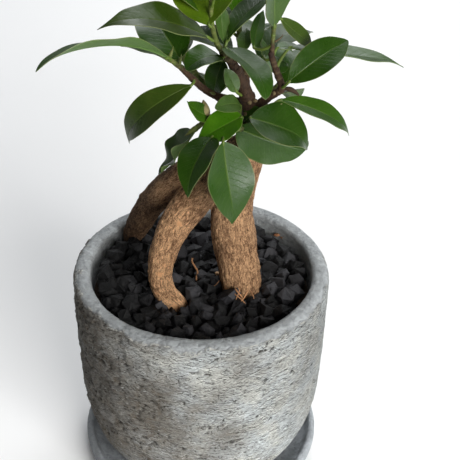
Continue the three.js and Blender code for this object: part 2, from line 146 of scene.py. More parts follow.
SHOOTS = {
    "main_shoot": Shoot(
        stem=(
            (24, 3, 197.3, 4.6), (22, 2, 207, 4.1), (20, 1, 215, 3.2), (17, 0, 223, 2.7), (12, -1, 233, 2),
            (7, -3, 240, 1.2), (5, -5, 247, 1.1), (4, -7, 254, 1), (4, -8, 263, 1), (5, -8, 269, 0.9),
        ),
        green_from=0.48,
        dark=0.55,
        leaves=(
            Leaf(0.6, (2, -6, 245.5), 197, 19, 47.5, 21.5, -12, 0.06, "olive",
                 curl=0.07, hook=0.1, full=0.84, belly=0.76, tip=0.5),
            Leaf(0.5, (9, -4, 234.5), 207, -5, 18, 17, -4, 0.15,
                 curl=0.03, full=0.51, belly=1.06, tip=-0.02),
            Leaf(0.47, (10.5, -5, 239.5), 305, -6, 33.5, 17, -14, 0.02, "dark",
                 hook=0.16, sweep=0.03, full=0.5, belly=0.9, tip=-0.15),
            Leaf(0.75, (3, -10, 252.5), 94, 47, 32, 29.5, -28, -0.03, "young", sweep=-0.1, belly=0.91),
            Leaf(0.5, (11, 0, 240.5), 49, 24, 32.5, 17.5, -15, 0.08, "dark",
                 curl=-0.03, sweep=0.14, full=1, belly=1.3),
            Leaf(0.55, (10.5, 1, 238.5), 107, 67, 17.5, 8.5, 27, -0.09, "grey",
                 curl=0, sweep=0.04, full=0.84, belly=1.15),
            Leaf(0.38, (9.5, 9, 227), 176, -76, 19.5, 11.5, -69, 0.09, "dark",
                 sweep=-0.02, full=0.73, belly=0.7),
            Leaf(0.2, (15.5, -5, 218.5), 179, 69, 12.5, 7, -58, -0.03, "grey",
                 curl=0.02, sweep=-0.06, full=0.55, belly=0.81, tip=0.19),
            Leaf(0.7, (2, -1, 253), 155, 28, 36, 19),
            Leaf(0.85, (5, -12, 265), 285, 32, 34, 18),
            Leaf(0.92, (8, -8, 269), 25, 38, 35, 18, tone="bright"),
            Leaf(0.96, (2, -7, 270), 190, 48, 30, 16, tone="bright"),
            Leaf(0.46, (19.5, 14, 230), 83, 37, 12, 7, -13, 0.1, "grey", full=0.72, belly=0.7),
        ),
    ),
    "left_shoot": Shoot(
        stem=(
            (20, 2, 209, 2), (13, 4, 210, 1.8), (6, 4, 212, 1.7), (0, 2, 217, 1.6), (-5, 0, 223, 1.4),
            (-11, -3, 230.5, 1.1), (-16, -6, 235.5, 0.9),
        ),
        green_from=0.8,
        leaves=(
            Leaf(0.95, (-15, -8, 236.5), 226, 1, 61, 18.5, 24, 0.2,
                 curl=-0.3, hook=0.09, sweep=0.15, belly=1.05, tip=0.05),
            Leaf(0.85, (-10, 1, 231.5), 120, 19, 36.5, 23, -17, 0.1, "dark",
                 sweep=0.02, full=0.55, belly=0.82),
            Leaf(0.65, (-5, -3.5, 220.5), 176, -44, 46, 16, -43, 0.15, "olive",
                 curl=0.08, hook=0.1, sweep=0.05, full=0.72, belly=0.94, tip=0.38),
        ),
    ),
    "right_shoot": Shoot(
        stem=(
            (24, 2, 206, 2.4), (30, 0, 213, 2), (36, -2, 219, 1.7), (34, 0, 225, 1.5), (31.5, 2, 232, 1.2),
            (31.5, 3, 240, 0.9), (32, 3, 248, 0.9),
        ),
        green_from=0.8,
        dark=0.42,
        leaves=(
            Leaf(0.97, (31.5, -1, 248.5), 205, 87, 26, 21, -60, 0, "grey",
                 curl=-0.07, sweep=-0.03, full=0.68, belly=1.01),
            Leaf(0.88, (34.5, 4, 250), 22, -44, 25, 9, 48, -0.03, "olive",
                 curl=0.04, hook=0.05, sweep=-0.1, full=0.67, belly=1.04, tip=0.11),
            Leaf(0.33, (39, -6, 224), 26, 27, 33.5, 16, 35, 0.06, "dark",
                 curl=0.07, full=0.59, belly=1.01, tip=0.18),
            Leaf(0.55, (40, 8, 234.5), 15, -12, 60.5, 17.5, -2, -0.02,
                 curl=0.02, hook=0.06, sweep=-0.02, belly=0.97),
            Leaf(0.62, (34, 7, 234.5), 25, -5, 12, 7, 8, 0, curl=0.04, sweep=-0.05, belly=0.76),
            Leaf(0.48, (34.5, 6, 222.5), 93, 20, 12, 10.5, 39, 0.11, belly=0.8),
            Leaf(0.78, (23.5, 8, 234), 82, 34, 22, 7, 35, -0.02, "dark", curl=0.05, sweep=0.15, full=0.65),
            Leaf(0.66, (28, 6, 230.5), 91, 34, 10, 6, 52, -0.01, "grey", curl=0.04, sweep=0.05, belly=0.77),
        ),
    ),
    "lower_right_shoot": Shoot(
        stem=((24, 1, 201, 2.1), (28, -4, 206, 1.8), (32, -6, 210, 1.5)),
        green_from=0.3,
        leaves=(
            Leaf(0.95, (35.5, -6, 215), 13, -31, 42.5, 13, 23, 0.08,
                 curl=-0.02, hook=0.08, sweep=-0.02, full=0.76, belly=1.01, tip=0.12),
            Leaf(0.75, (21.5, -16, 211), 352, -22, 30.5, 26.5, 14, 0.05, "dark",
                 curl=0.04, hook=0.17, sweep=-0.1, full=0.68, tip=-0.03),
        ),
    ),
    "front_shoot": Shoot(
        stem=((21, 1, 199, 2.3), (17, -5, 200.5, 1.9), (13, -9, 201, 1.5), (9, -12, 200.5, 1.1)),
        green_from=0.3,
        bud_length=3,
        leaves=(
            Leaf(0.35, (16.5, -6, 200.5), 9, -32, 36.5, 24, 95, -0.03, "dark",
                 sweep=-0.12, full=0.55, belly=0.96, tip=-0.19),
            Leaf(0.55, (18, -12, 209.5), 186, -28, 23.5, 16, -30, 0, "bright",
                 full=0.73, belly=0.7, tip=0.19),
            Leaf(0.75, (9.5, -21, 201.5), 298, -71, 40, 26, -10, -0.03, "dark",
                 curl=0.03, hook=0.09, sweep=-0.04, full=0.85, belly=0.81, tip=0.22),
            Leaf(0.98, (4.5, -16, 201), 243, -28, 30.5, 19, 15, 0.07, "dark",
                 hook=0.06, full=0.74, belly=0.7, tip=0.16),
            Leaf(0.3, (17.5, -3, 210.5), 231, 25, 23, 8.5, -49, 0.07, "grey",
                 curl=-0.03, sweep=-0.13, full=0.5, belly=0.99, tip=0.1),
            Leaf(0.12, (20, -3.5, 202.5), 8, 44, 10, 8, 29, 0.1, belly=0.8),
        ),
    ),
    "low_left_shoot": Shoot(
        stem=((17, 2, 196, 1.8), (9, -1, 201, 1.6), (2, -3, 202, 1.4), (-3, -4, 199, 1.1)),
        green_from=0.5,
        leaves=(
            Leaf(0.6, (4, -4.5, 205.5), 225, 34, 19, 8.5, -69, -0.07,
                 curl=-0.02, sweep=0.14, full=1, belly=0.7, tip=0.33),
            Leaf(0.95, (-4, -5, 197.5), 177, -61, 29, 22, -2, 0, "grey",
                 curl=-0.1, sweep=0.05, full=0.74, belly=0.76, tip=0.1, wave=0.12, fold=24),
        ),
    ),
    "back_shoot": Shoot(
        stem=((20, 3, 213, 2.2), (20, 14, 220, 1.9), (18, 24, 229, 1.6), (17, 30, 238, 1.2)),
        leaves=(
            Leaf(0.3, (26, 17, 225), 40, 8, 36, 19),
            Leaf(0.45, (14, 22, 226), 142, -3, 37, 20, tone="dark"),
            Leaf(0.6, (22, 28, 230), 75, -15, 40, 20),
            Leaf(0.75, (13, 30, 234), 125, 8, 38, 19),
            Leaf(0.95, (19, 33, 240), 60, 30, 36, 19, tone="bright"),
            Leaf(0.98, (15, 30, 242), 150, 45, 34, 17, tone="bright"),
        ),
    ),
    "back_right_shoot": Shoot(
        stem=((24, 4, 203, 2), (31, 13, 206, 1.7), (37, 20, 210, 1.3)),
        leaves=(
            Leaf(0.5, (27, 14, 203), 100, -40, 36, 19, tone="dark"),
            Leaf(0.6, (34, 18, 205), 68, -28, 38, 19),
            Leaf(0.9, (40, 19, 211), 58, 8, 34, 18),
            Leaf(0.98, (37, 24, 212), 98, 2, 36, 18, tone="bright"),
        ),
    ),
    "back_left_shoot": Shoot(
        stem=((20, 3, 205, 2.2), (9, 12, 206, 1.9), (-1, 21, 212, 1.6), (-9, 27, 220, 1.3)),
        leaves=(
            Leaf(0.55, (5, 23, 211), 84, -36, 38, 19, tone="dark"),
            Leaf(0.8, (-10, 21, 219), 165, 15, 30, 18),
            Leaf(0.93, (-8, 31, 221), 112, -22, 38, 19),
            Leaf(0.96, (-13, 28, 223), 142, 20, 34, 17, tone="bright"),
        ),
    ),
}

# How far each tone of leaf stands from the plain leaf colour: factors for red, green and blue.
TONES = {
    "deep": (1.0, 1.0, 1.0),
    "dark": (0.68, 0.70, 0.8),
    "olive": (1.35, 0.85, 2.0),
    "grey": (1.6, 1.15, 5.0),
    "bright": (2.0, 2.15, 1.1),
    "young": (3.3, 2.1, 1.6),
}


# ---------------------------------------------------------------- small helpers


def eased(value, low, high):
    """0 at low, 1 at high, and smooth between them, for numbers and arrays."""
    share = np.clip((np.asarray(value, float) - low) / (high - low), 0.0, 1.0)
    return share * share * (3.0 - 2.0 * share)


def unit(vectors):
    """Vectors, one a row, brought to length 1."""
    lengths = np.linalg.norm(vectors, axis=-1, keepdims=True)
    return vectors / np.maximum(lengths, 1e-12)


def grain(points, size, octaves=3, shift=0.0):
    """Soft fractal noise from about -1 to 1 at each point; size is the width of its largest forms."""
    points = np.asarray(points, float) / size + shift
    values = [noise.fractal(Vector(p), 0.9, 2.1, octaves) for p in points.reshape(-1, 3)]
    return np.array(values).reshape(points.shape[:-1])


def spans(draw, *limits):
    """One random number between each pair of limits, drawn in their order."""
    return [draw.uniform(low, high) for low, high in limits]


def run_along(path):
    """The length along a path at each of its points."""
    return np.concatenate([[0], np.cumsum(np.linalg.norm(np.diff(path, axis=0), axis=1))])


class Curve:
    """A centripetal Catmull-Rom curve through points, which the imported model's limbs follow too."""

    def __init__(self, points):
        self.points = [Vector(p[:3]) for p in points]
        self.radii = [p[3] if len(p) > 3 else 0.0 for p in points]
        self.last = len(points) - 1

    def _span(self, share):
        """The point before a share of the curve, and how far the share lies past it."""
        place = min(max(share, 0.0), 1.0) * self.last
        start = min(int(place), self.last - 1)
        return start, place - start

    def at(self, share):
        """The place at a share of the curve."""
        k, w = self._span(share)
        p1, p2 = self.points[k], self.points[k + 1]
        p0 = self.points[k - 1] if k > 0 else p1 * 2 - p2
        p3 = self.points[k + 2] if k + 2 <= self.last else p2 * 2 - p1
        d0, d1, d2 = ((a - b).length ** 0.5 for a, b in ((p0, p1), (p1, p2), (p2, p3)))
        slope1 = ((p1 - p0) / d0 - (p2 - p0) / (d0 + d1) + (p2 - p1) / d1) * d1
        slope2 = ((p2 - p1) / d1 - (p3 - p1) / (d1 + d2) + (p3 - p2) / d2) * d1
        squared = p1 * -3 + p2 * 3 - slope1 * 2 - slope2
        cubed = p1 * 2 - p2 * 2 + slope1 + slope2
        return p1 + slope1 * w + squared * w**2 + cubed * w**3

    def radius(self, share):
        """The radius at a share of the curve."""
        k, w = self._span(share)
        w = w * w * (3 - 2 * w)
        return self.radii[k] * (1 - w) + self.radii[k + 1] * w

    def even(self, step):
        """Points, radii and shares at even steps of length along the curve."""
        shares = np.linspace(0, 1, 60 * self.last + 1)
        points = np.array([self.at(s)[:] for s in shares])
        run = run_along(points)
        count = max(3, int(round(run[-1] / step)) + 1)
        wanted = np.interp(np.linspace(0, run[-1], count), run, shares)
        path = np.array([self.at(s)[:] for s in wanted])
        return path, np.array([self.radius(s) for s in wanted]), wanted


def directions(path):
    """The way ahead at each point of a path and two directions across it that never twist."""
    ahead = unit(np.gradient(path, axis=0))
    start = np.cross(ahead[0], (0.0, 1.0, 0.0) if abs(ahead[0][1]) < 0.8 else (1.0, 0.0, 0.0))
    across = [unit(start)]
    for way in ahead[1:]:
        turned = across[-1] - way * np.dot(across[-1], way)
        across.append(unit(turned))
    across = np.array(across)
    return ahead, across, np.cross(ahead, across)


def add_object(name, data):
    """A new object in the scene, at the origin."""
    made = bpy.data.objects.new(name, data)
    bpy.context.scene.collection.objects.link(made)
    return made


def write_vectors(mesh, name, values):
    """Stores three numbers for each point of a mesh."""
    attribute = mesh.attributes.new(name, "FLOAT_VECTOR", "POINT")
    attribute.data.foreach_set("vector", values.astype(np.float32).ravel())


def read_vectors(mesh, name):
    """Three numbers of each point of a mesh: co or normal."""
    values = np.empty(len(mesh.vertices) * 3, np.float32)
    mesh.vertices.foreach_get(name, values)
    return values.reshape(-1, 3).astype(float)


class Shape:
    """Points, faces and per-point values, gathered part by part into one mesh."""

    def __init__(self):
        self.points, self.faces, self.values, self.count = [], [], {}, 0

    def add(self, points, faces, **values):
        """Adds points, the faces over them and their values: one row for all or one row a point."""
        points = np.asarray(points, float).reshape(-1, 3)
        self.faces.extend([tuple(int(i) + self.count for i in face) for face in faces])
        self.points.append(points)
        self.count += len(points)
        for key, value in values.items():
            value = np.broadcast_to(np.asarray(value, float), (len(points), 3))
            self.values.setdefault(key, []).append(value)

    def tube(self, path, radii, sides, **values):
        """A closed round tube along a path. Its values are one row for all points or one row a ring."""
        path, radii = np.asarray(path, float), np.asarray(radii, float)
        _, across, upward = directions(path)
        angles = np.linspace(0, 2 * math.pi, sides, endpoint=False)
        ring = np.cos(angles)[:, None] * across[:, None] + np.sin(angles)[:, None] * upward[:, None]
        points = path[:, None] + ring * radii[:, None, None]
        rows = len(path)
        faces = grid_faces(rows, sides, wrap_columns=True)
        first, last = rows * sides, rows * sides + 1
        faces += [(first, (k + 1) % sides, k) for k in range(sides)]
        end = (rows - 1) * sides
        faces += [(last, end + k, end + (k + 1) % sides) for k in range(sides)]
        everything = np.concatenate([points.reshape(-1, 3), [path[0]], [path[-1]]])
        spread = {}
        for key, value in values.items():
            value = np.asarray(value, float)
            if value.ndim == 2 and len(value) == rows:
                value = np.concatenate([np.repeat(value, sides, axis=0), value[:1], value[-1:]])
            spread[key] = value
        self.add(everything, faces, **spread)

    def object(self, name):
        """The mesh object: smooth, with outward faces, its values as point attributes."""
        mesh = bpy.data.meshes.new(name)
        mesh.from_pydata((np.concatenate(self.points) * MM).tolist(), [], self.faces)
        mesh.shade_smooth()
        for key, value in self.values.items():
            write_vectors(mesh, key, np.concatenate(value))
        shell = bmesh.new()
        shell.from_mesh(mesh)
        bmesh.ops.recalc_face_normals(shell, faces=shell.faces)
        shell.to_mesh(mesh)
        shell.free()
        return add_object(name, mesh)


def grid_faces(rows, columns, wrap_columns=False, wrap_rows=False):
    """Quads over a grid of points numbered row by row."""
    faces = []
    for row in range(rows if wrap_rows else rows - 1):
        above = (row + 1) % rows
        for column in range(columns if wrap_columns else columns - 1):
            beside = (column + 1) % columns
            faces.append((
                row * columns + column, row * columns + beside,
                above * columns + beside, above * columns + column,
            ))
    return faces


def finish_piece(made, material, slot, *nodes):
    """Gives a piece its material and its body, and hides the imported nodes that it stands for. The slot is not
    used.
    """
    made.data.materials.clear()
    made.data.materials.append(material)
    if nodes:
        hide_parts(*nodes)
    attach(made, "root")


# ---------------------------------------------------------------- nodes and materials


def feed(tree, socket, value):
    """Links a socket to a value of other nodes, or sets a number, vector or colour on it."""
    value = value.socket if isinstance(value, Value) else value
    if isinstance(value, bpy.types.NodeSocket):
        tree.links.new(value, socket)
    elif socket.type == "RGBA":
        socket.default_value = (*value, 1.0)
    else:
        socket.default_value = value


def add_node(tree, kind, inputs=None, **settings):
    """A new node with its settings made and its inputs fed."""
    node = tree.nodes.new(kind)
    for key, value in settings.items():
        setattr(node, key, value)
    for key, value in (inputs or {}).items():
        feed(tree, node.inputs[key], value)
    return node


class Value:
    """A node's output in a material, with the usual arithmetic."""

    def __init__(self, finish, socket):
        self.finish, self.socket = finish, socket

    def __add__(self, other):
        return self.finish.math("ADD", self, other)

    def __sub__(self, other):
        return self.finish.math("SUBTRACT", self, other)

    def __mul__(self, other):
        return self.finish.math("MULTIPLY", self, other)

    def __abs__(self):
        return self.finish.math("ABSOLUTE", self)


class Finish:
    """A material whose nodes are added one at a time and feed one Principled shader."""

    def __init__(self, name, **constants):
        self.material = bpy.data.materials.new(name)
        self.material.use_nodes = True
        self.tree = self.material.node_tree
        self.tree.nodes.clear()
        self.shader = add_node(self.tree, "ShaderNodeBsdfPrincipled")
        add_node(self.tree, "ShaderNodeOutputMaterial", {"Surface": self.shader.outputs[0]})
        self.set(**constants)

    def set(self, **sockets):
        """Feeds the shader's sockets, named with _ for a space."""
        for key, value in sockets.items():
            feed(self.tree, self.shader.inputs[key.replace("_", " ")], value)

    def add(self, kind, output, inputs=None, **settings):
        """One output of a new shader node."""
        return Value(self, add_node(self.tree, "ShaderNode" + kind, inputs, **settings).outputs[output])

    def math(self, operation, *numbers):
        """Numbers and values put through one operation."""
        return self.add("Math", 0, dict(enumerate(numbers)), operation=operation)

    def larger(self, a, b):
        """The larger of two values."""
        return self.math("MAXIMUM", a, b)

    def spread(self, value, low, high, start=0.0, end=1.0, kind="SMOOTHSTEP"):
        """Maps low..high to start..end."""
        inputs = {"Value": value, "From Min": low, "From Max": high, "To Min": start, "To Max": end}
        return self.add("MapRange", 0, inputs, interpolation_type=kind)

    def mix(self, share, a, b, blend="MIX"):
        """A colour between a and b."""
        return self.add("Mix", 2, {0: share, 6: a, 7: b}, data_type="RGBA", blend_type=blend)

    def times(self, a, b):
        """Two colours multiplied."""
        return self.mix(1.0, a, b, "MULTIPLY")

    def values(self, name):
        """A point attribute as a vector."""
        return self.add("Attribute", "Vector", attribute_name=name, attribute_type="GEOMETRY")

    def parts(self, vector):
        """The three numbers of a vector."""
        node = add_node(self.tree, "ShaderNodeSeparateXYZ", {0: vector})
        return [Value(self, part) for part in node.outputs]

    def place(self, scale=(1000, 1000, 1000), source=None, shift=(0, 0, 0)):
        """A source, or else object coordinates in metres, stretched by scale and then shifted."""
        source = source or self.add("TexCoord", "Object")
        return self.add("Mapping", 0, {"Vector": source, "Scale": scale, "Location": shift})

    def noise(self, where, size, detail=4.0, rough=0.55, warp=0.0):
        """Soft noise from 0 to 1; size is the width of its largest forms."""
        inputs = {"Scale": 1.0 / size, "Detail": detail, "Roughness": rough, "Distortion": warp}
        return self.add("TexNoise", "Fac", {"Vector": where, **inputs})

    def cells(self, where, size, feature="F1"):
        """Distances in a pattern of cells this wide."""
        return self.add("TexVoronoi", "Distance", {"Vector": where, "Scale": 1.0 / size}, feature=feature)

    def ramp(self, value, *stops):
        """A colour ramp of (position, colour, factor) stops."""
        made = self.add("ValToRGB", "Color", {"Fac": value})
        elements = made.socket.node.color_ramp.elements
        while len(elements) < len(stops):
            elements.new(0.5)
        for element, (position, colour, factor) in zip(elements, stops):
            element.position = position
            element.color = (*rgb(colour, factor), 1.0)
        return made

    def bump(self, height, distance, strength=1.0):
        """Relief: distance is how deep a height of 1 stands, in millimetres."""
        return self.add("Bump", 0, {"Height": height, "Distance": distance * MM, "Strength": strength})


def rgb(colour, factor=1.0):
    """Three numbers of a colour property, scaled."""
    return tuple(float(part) * factor for part in tuple(colour)[:3])


def stone_finish(name, body, band, warm, rough_side):
    """Cast stone: pale and dark strata, pits and specks on the body and a smoother, cooler rim band.

    The point values wear are (pit depth, rim band, roughness of this side); the pits and the rough side also
    set painted shade.
    """
    stone = Finish(name, Specular_IOR_Level=0.35)
    noise_at, spread, place = stone.noise, stone.spread, stone.place
    pit, rim, side = stone.parts(stone.values("wear"))
    even, level = place(), place((1000, 1000, 1550))
    crumble = noise_at(level, 2.2, 6, 0.72, 0.2)
    strata = noise_at(place((1000, 1000, 2600)), 6.5, 6, 0.64, 0.5)
    patches = noise_at(even, 21.0, 3, 0.5)
    torn = spread(side * 0.35 + patches, 0.42, 0.80)
    fine = crumble * spread(torn, 0.0, 1.0, 0.72, 1.15, "LINEAR")
    # Painted light and shade: each short level crack has a dark upper lip and a pale lower one, as if lit from
    # above.
    dash, above = (
        noise_at(place((950, 950, 2400), shift=(0, 0, rise)), 3.0, 6, 0.74, 0.8) for rise in (0, 0.85)
    )
    painted_lip_light = (dash - above) * spread(noise_at(level, 5.0, 3, 0.6), 0.40, 0.62, 0.25, 1.0)
    face = stone.ramp(
        fine * 0.50 + strata * 0.42 + patches * 0.14 + painted_lip_light * 3.2,
        (0.28, body, 0.34), (0.41, body, 0.82), (0.52, body, 1.12), (0.64, body, 1.45), (0.78, body, 1.95),
    )
    tinge = spread(noise_at(even, 13.0, 3, 0.6, 0.4), 0.36, 0.64)
    face = stone.times(face, stone.mix(tinge, (1.0, 1.0, 0.965), (0.955, 1.0, 1.035)))
    # Painted shade and earth: the rough left side is made darker and warmer, partly earth colour and partly
    # painted shade.
    face = stone.mix(spread(side, 0.55, 1.0, 0.0, 0.80 * rough_side), face, rgb(warm, 0.6))
    # Brown earth in the torn places.
    earth = spread(noise_at(level, 5.5, 4, 0.65), 0.46, 0.66) * torn * (0.75 * rough_side)
    earth *= spread(side, 0.6, 0.95, 0.0, 0.8, "LINEAR")
    face = stone.mix(earth, face, warm)
    # Short level cracks and pinholes too small for the mesh, and pale broken edges.
    dots = noise_at(place((1000, 1000, 1500)), 1.5, 3, 0.6)
    nick = noise_at(place((850, 850, 2900)), 1.9, 4, 0.7, 0.2)
    cracks = stone.larger(spread(dash, 0.425, 0.362), spread(nick, 0.41, 0.355))
    cracks = stone.larger(cracks, spread(dots, 0.338, 0.290))
    cracks *= spread(side, 0.2, 0.85, 0.62, 1.0, "LINEAR")
    holes = stone.larger(spread(pit, 0.25, 0.95), cracks * rough_side)
    holes *= spread(rim, 0.2, 0.9, 1.0, 0.35)
    # Painted shade: the pits and cracks are painted near black, as the shade in them.
    face = stone.mix(holes * 0.92, face, (0.036, 0.029, 0.022))
    specks = spread(dash, 0.59, 0.65) * spread(dots, 0.46, 0.56)
    face = stone.mix(specks * 0.85, face, (0.66, 0.665, 0.64))
    trowel = noise_at(even, 6.0, 6, 0.66, 1.2)
    lip = stone.ramp(
        crumble * 0.35 + trowel * 0.65,
        (0.34, band, 0.85), (0.50, band, 1.32), (0.66, band, 1.8),
    )
    colour = stone.mix(rim, face, lip)
    # Pale broken flecks where the rim's skin ends.
    torn_edge = spread(rim, 0.04, 0.35) * spread(rim, 0.98, 0.6)
    flecks = torn_edge * spread(noise_at(level, 1.7, 3, 0.6), 0.52, 0.58)
    colour = stone.mix(flecks * (0.85 * rough_side), colour, (0.66, 0.65, 0.60))
    # Painted shading: the body is painted duller at its right, the saucer darker at its left, and both paler
    # low down.
    across, _, height = stone.parts(even)
    painted_shading = stone.larger(spread(across, 22.0, 56.0, 1.0, 0.66), rim)
    left = spread(across, -60.0, -25.0, 0.5 + 0.5 * rough_side, 1.0)
    painted_shading *= left * spread(height, 85.0, 30.0, 1.0, 1.35)
    grit = fine * 1.1 + strata * 0.6 - holes * 0.8 + dash * 1.2 + specks * 0.4
    quiet = spread(rim, 0.0, 1.0, 1.0, 0.45, "LINEAR")
    stone.set(Base_Color=stone.times(colour, painted_shading), Normal=stone.bump(grit * quiet, 2.3))
    stone.set(Roughness=spread(rim, 0.0, 1.0, 0.88, 0.66, "LINEAR"))
    return stone.material


def bark_finish(bark, furrow):
    """Wrinkled bark: a net of short dark furrows that runs along each root.

    bark_co are straightened root coordinates in millimetres, bark_wear (furrow, scar, shade).
    """
    wood = Finish("root_bark", Specular_IOR_Level=0.25, Roughness=0.82)
    groove, scar, shade = wood.parts(wood.values("bark_wear"))
    along = wood.values("bark_co")
    where = wood.place((1, 1, 0.42), along)
    ripple = wood.add("TexNoise", "Color", {"Vector": where, "Scale": 0.9, "Detail": 2.0})
    bent = wood.add("VectorMath", 0, {0: where, 1: ripple, 2: ripple}, operation="MULTIPLY_ADD")
    net = wood.spread(wood.cells(bent, 1.5, "DISTANCE_TO_EDGE"), 0.02, 0.26)
    streak = wood.noise(wood.place((1, 1, 0.33), along), 0.85, 4, 0.75, 0.8)
    fibre = wood.noise(wood.place((1, 1, 0.5), along), 0.5, 3, 0.7, 0.5)
    broad = wood.noise(where, 8.0, 3, 0.5)
    wander = wood.noise(where, 1.6, 4, 0.7, 0.7)
    lines = wood.spread(abs(wander - 0.5), 0.032, 0.004)
    colour = wood.ramp(
        streak * 0.62 + fibre * 0.34 + net * 0.08 + broad * 0.24 - 0.12 - lines * 0.09 - groove * 0.07,
        (0.33, furrow, 0.7), (0.42, furrow, 1.35), (0.49, bark, 0.78), (0.57, bark, 1.12), (0.68, bark, 1.55),
    )
    # Painted light and shade: the middle root is brightened and the back root darkened.
    colour = wood.times(colour, wood.values("bark_painted_light"))
    colour = wood.mix(scar * 0.7, colour, (0.80, 0.42, 0.20))
    colour = wood.mix(shade, colour, (0.045, 0.024, 0.012))
    wood.set(Base_Color=colour, Normal=wood.bump(net * 0.5 + streak * 1.6, 0.62))
    return wood.material


def leaf_finish(leaf, young):
    """A leathery leaf: midrib, faint side veins, a thin pale margin and a duller underside.

    leaf_at are (share of length, share of half width, underside), leaf_tint a colour factor.
    """
    blade = Finish("leaf_blade", IOR=1.36, Specular_IOR_Level=0.34)
    along, across, under = blade.parts(blade.values("leaf_at"))
    off, even, young = abs(across), blade.place(), rgb(young)
    sweep = along * VEIN_BEATS - off * VEIN_SLANT + blade.noise(even, 6.0, 2) * 0.35
    vein = blade.spread(blade.math("PINGPONG", sweep, 0.5), 0.42, 0.5) * blade.spread(off, 0.95, 0.6)
    rib, margin = blade.spread(off, 0.060, 0.022), blade.spread(off, 0.955, 0.99)
    cloud, fine = blade.noise(even, 9.0, 4, 0.55), blade.noise(even, 1.1, 3, 0.6)
    body = blade.times(rgb(leaf), blade.values("leaf_tint"))
    body = blade.mix(blade.spread(cloud, 0.35, 0.7, 0.0, 0.45), body, blade.times(body, (1.7, 1.35, 1.5)))
    body = blade.mix(blade.spread(fine, 0.4, 0.7, 0.0, 0.18), body, (0.02, 0.06, 0.006))
    body = blade.mix(vein * 0.07, body, blade.mix(0.5, body, young))
    rib_light = rib * blade.spread(along, 0.1, 0.95, 0.27, 0.05)
    body = blade.mix(rib_light, body, blade.mix(0.7, body, young))
    body = blade.mix(margin * 0.3, body, (0.24, 0.22, 0.09))
    colour = blade.mix(under, body, blade.mix(0.55, body, (0.10, 0.165, 0.055)))
    relief = vein * -0.10 + fine * 0.14 + cloud * 0.9 - rib * 0.3
    blade.set(Base_Color=colour, Normal=blade.bump(relief, 0.75, 0.5))
    blade.set(Roughness=blade.spread(cloud, 0.3, 0.7, 0.26, 0.40) + under * 0.16)
    return blade.material


def twig_finish(bark, green):
    """A twig: wrinkled brown bark that turns green towards its tip, with ring scars.

    twig_wear are (green share, scar, dark).
    """
    twig = Finish("twig_bark", Specular_IOR_Level=0.22)
    fresh, scar, dark = twig.parts(twig.values("twig_wear"))
    fibre = twig.noise(twig.place((1600, 1600, 500)), 0.9, 4, 0.65, 0.4)
    blot = twig.noise(twig.place(), 3.2, 3, 0.6)
    brown = twig.ramp(fibre, (0.30, bark, 0.22), (0.50, bark, 0.60), (0.72, bark, 1.35))
    soft = twig.ramp(blot, (0.30, green, 0.65), (0.52, green, 1.0), (0.75, green, 1.5))
    colour = twig.mix(twig.spread(blot * 0.5 + fresh, 0.45, 1.0), brown, soft)
    colour = twig.mix(scar * 0.7, colour, (0.27, 0.215, 0.105))
    colour = twig.mix(dark * 0.85, colour, (0.016, 0.008, 0.005))
    twig.set(Base_Color=colour, Normal=twig.bump(fibre + blot, 0.30, 0.7))
    twig.set(Roughness=twig.spread(fresh, 0.0, 1.0, 0.78, 0.5, "LINEAR"))
    return twig.material


def charcoal_finish(colour):
    """Broken charcoal: near black, dull, with faint greyer faces and a fine grain, and painted shade that
    darkens it towards the left.
    """
    coal = Finish("charcoal", Specular_IOR_Level=0.22)
    tone, even = coal.parts(coal.values("chip_tone"))[0], coal.place()
    dust = coal.noise(even, 2.4, 4, 0.6)
    grainy = coal.noise(coal.place((1700, 900, 1000)), 0.55, 3, 0.6)
    # Painted shade: the chips are darker towards the left.
    light = tone * 0.60 + dust * 0.62 + coal.spread(coal.parts(even)[0], -48.0, -8.0, -0.30, 0.0)
    face = coal.ramp(light, (0.28, colour, 0.1), (0.52, colour, 0.3), (0.80, colour, 2.4))
    coal.set(Base_Color=face, Normal=coal.bump(grainy * 0.4 + dust * 0.8, 1.0, 0.9))
    coal.set(Roughness=coal.spread(dust, 0.3, 0.7, 0.46, 0.74))
    return coal.material


def soil_finish(colour):
    """Dark potting soil: crumbs and paler specks."""
    earth = Finish("potting_soil", Specular_IOR_Level=0.2, Roughness=0.95)
    crumbs = earth.cells(earth.place(), 1.8)
    speck = earth.noise(earth.place(), 1.2, 5, 0.7)
    face = earth.ramp(speck, (0.3, colour, 0.4), (0.55, colour, 1.0), (0.8, colour, 2.4))
    earth.set(Base_Color=face, Normal=earth.bump(crumbs + speck * 0.7, 0.8))
    return earth.material


def litter_finish(colour):
    """Root fibres and bark crumbs: dry orange brown."""
    dry = Finish("dry_fibre", Specular_IOR_Level=0.25, Roughness=0.8)
    grainy = dry.noise(dry.place(), 0.7, 4, 0.65)
    face = dry.ramp(grainy, (0.3, colour, 0.55), (0.55, colour, 1.0), (0.8, colour, 1.5))
    dry.set(Base_Color=dry.times(face, dry.values("litter_tint")), Normal=dry.bump(grainy, 0.25))
    return dry.material


# ---------------------------------------------------------------- settings


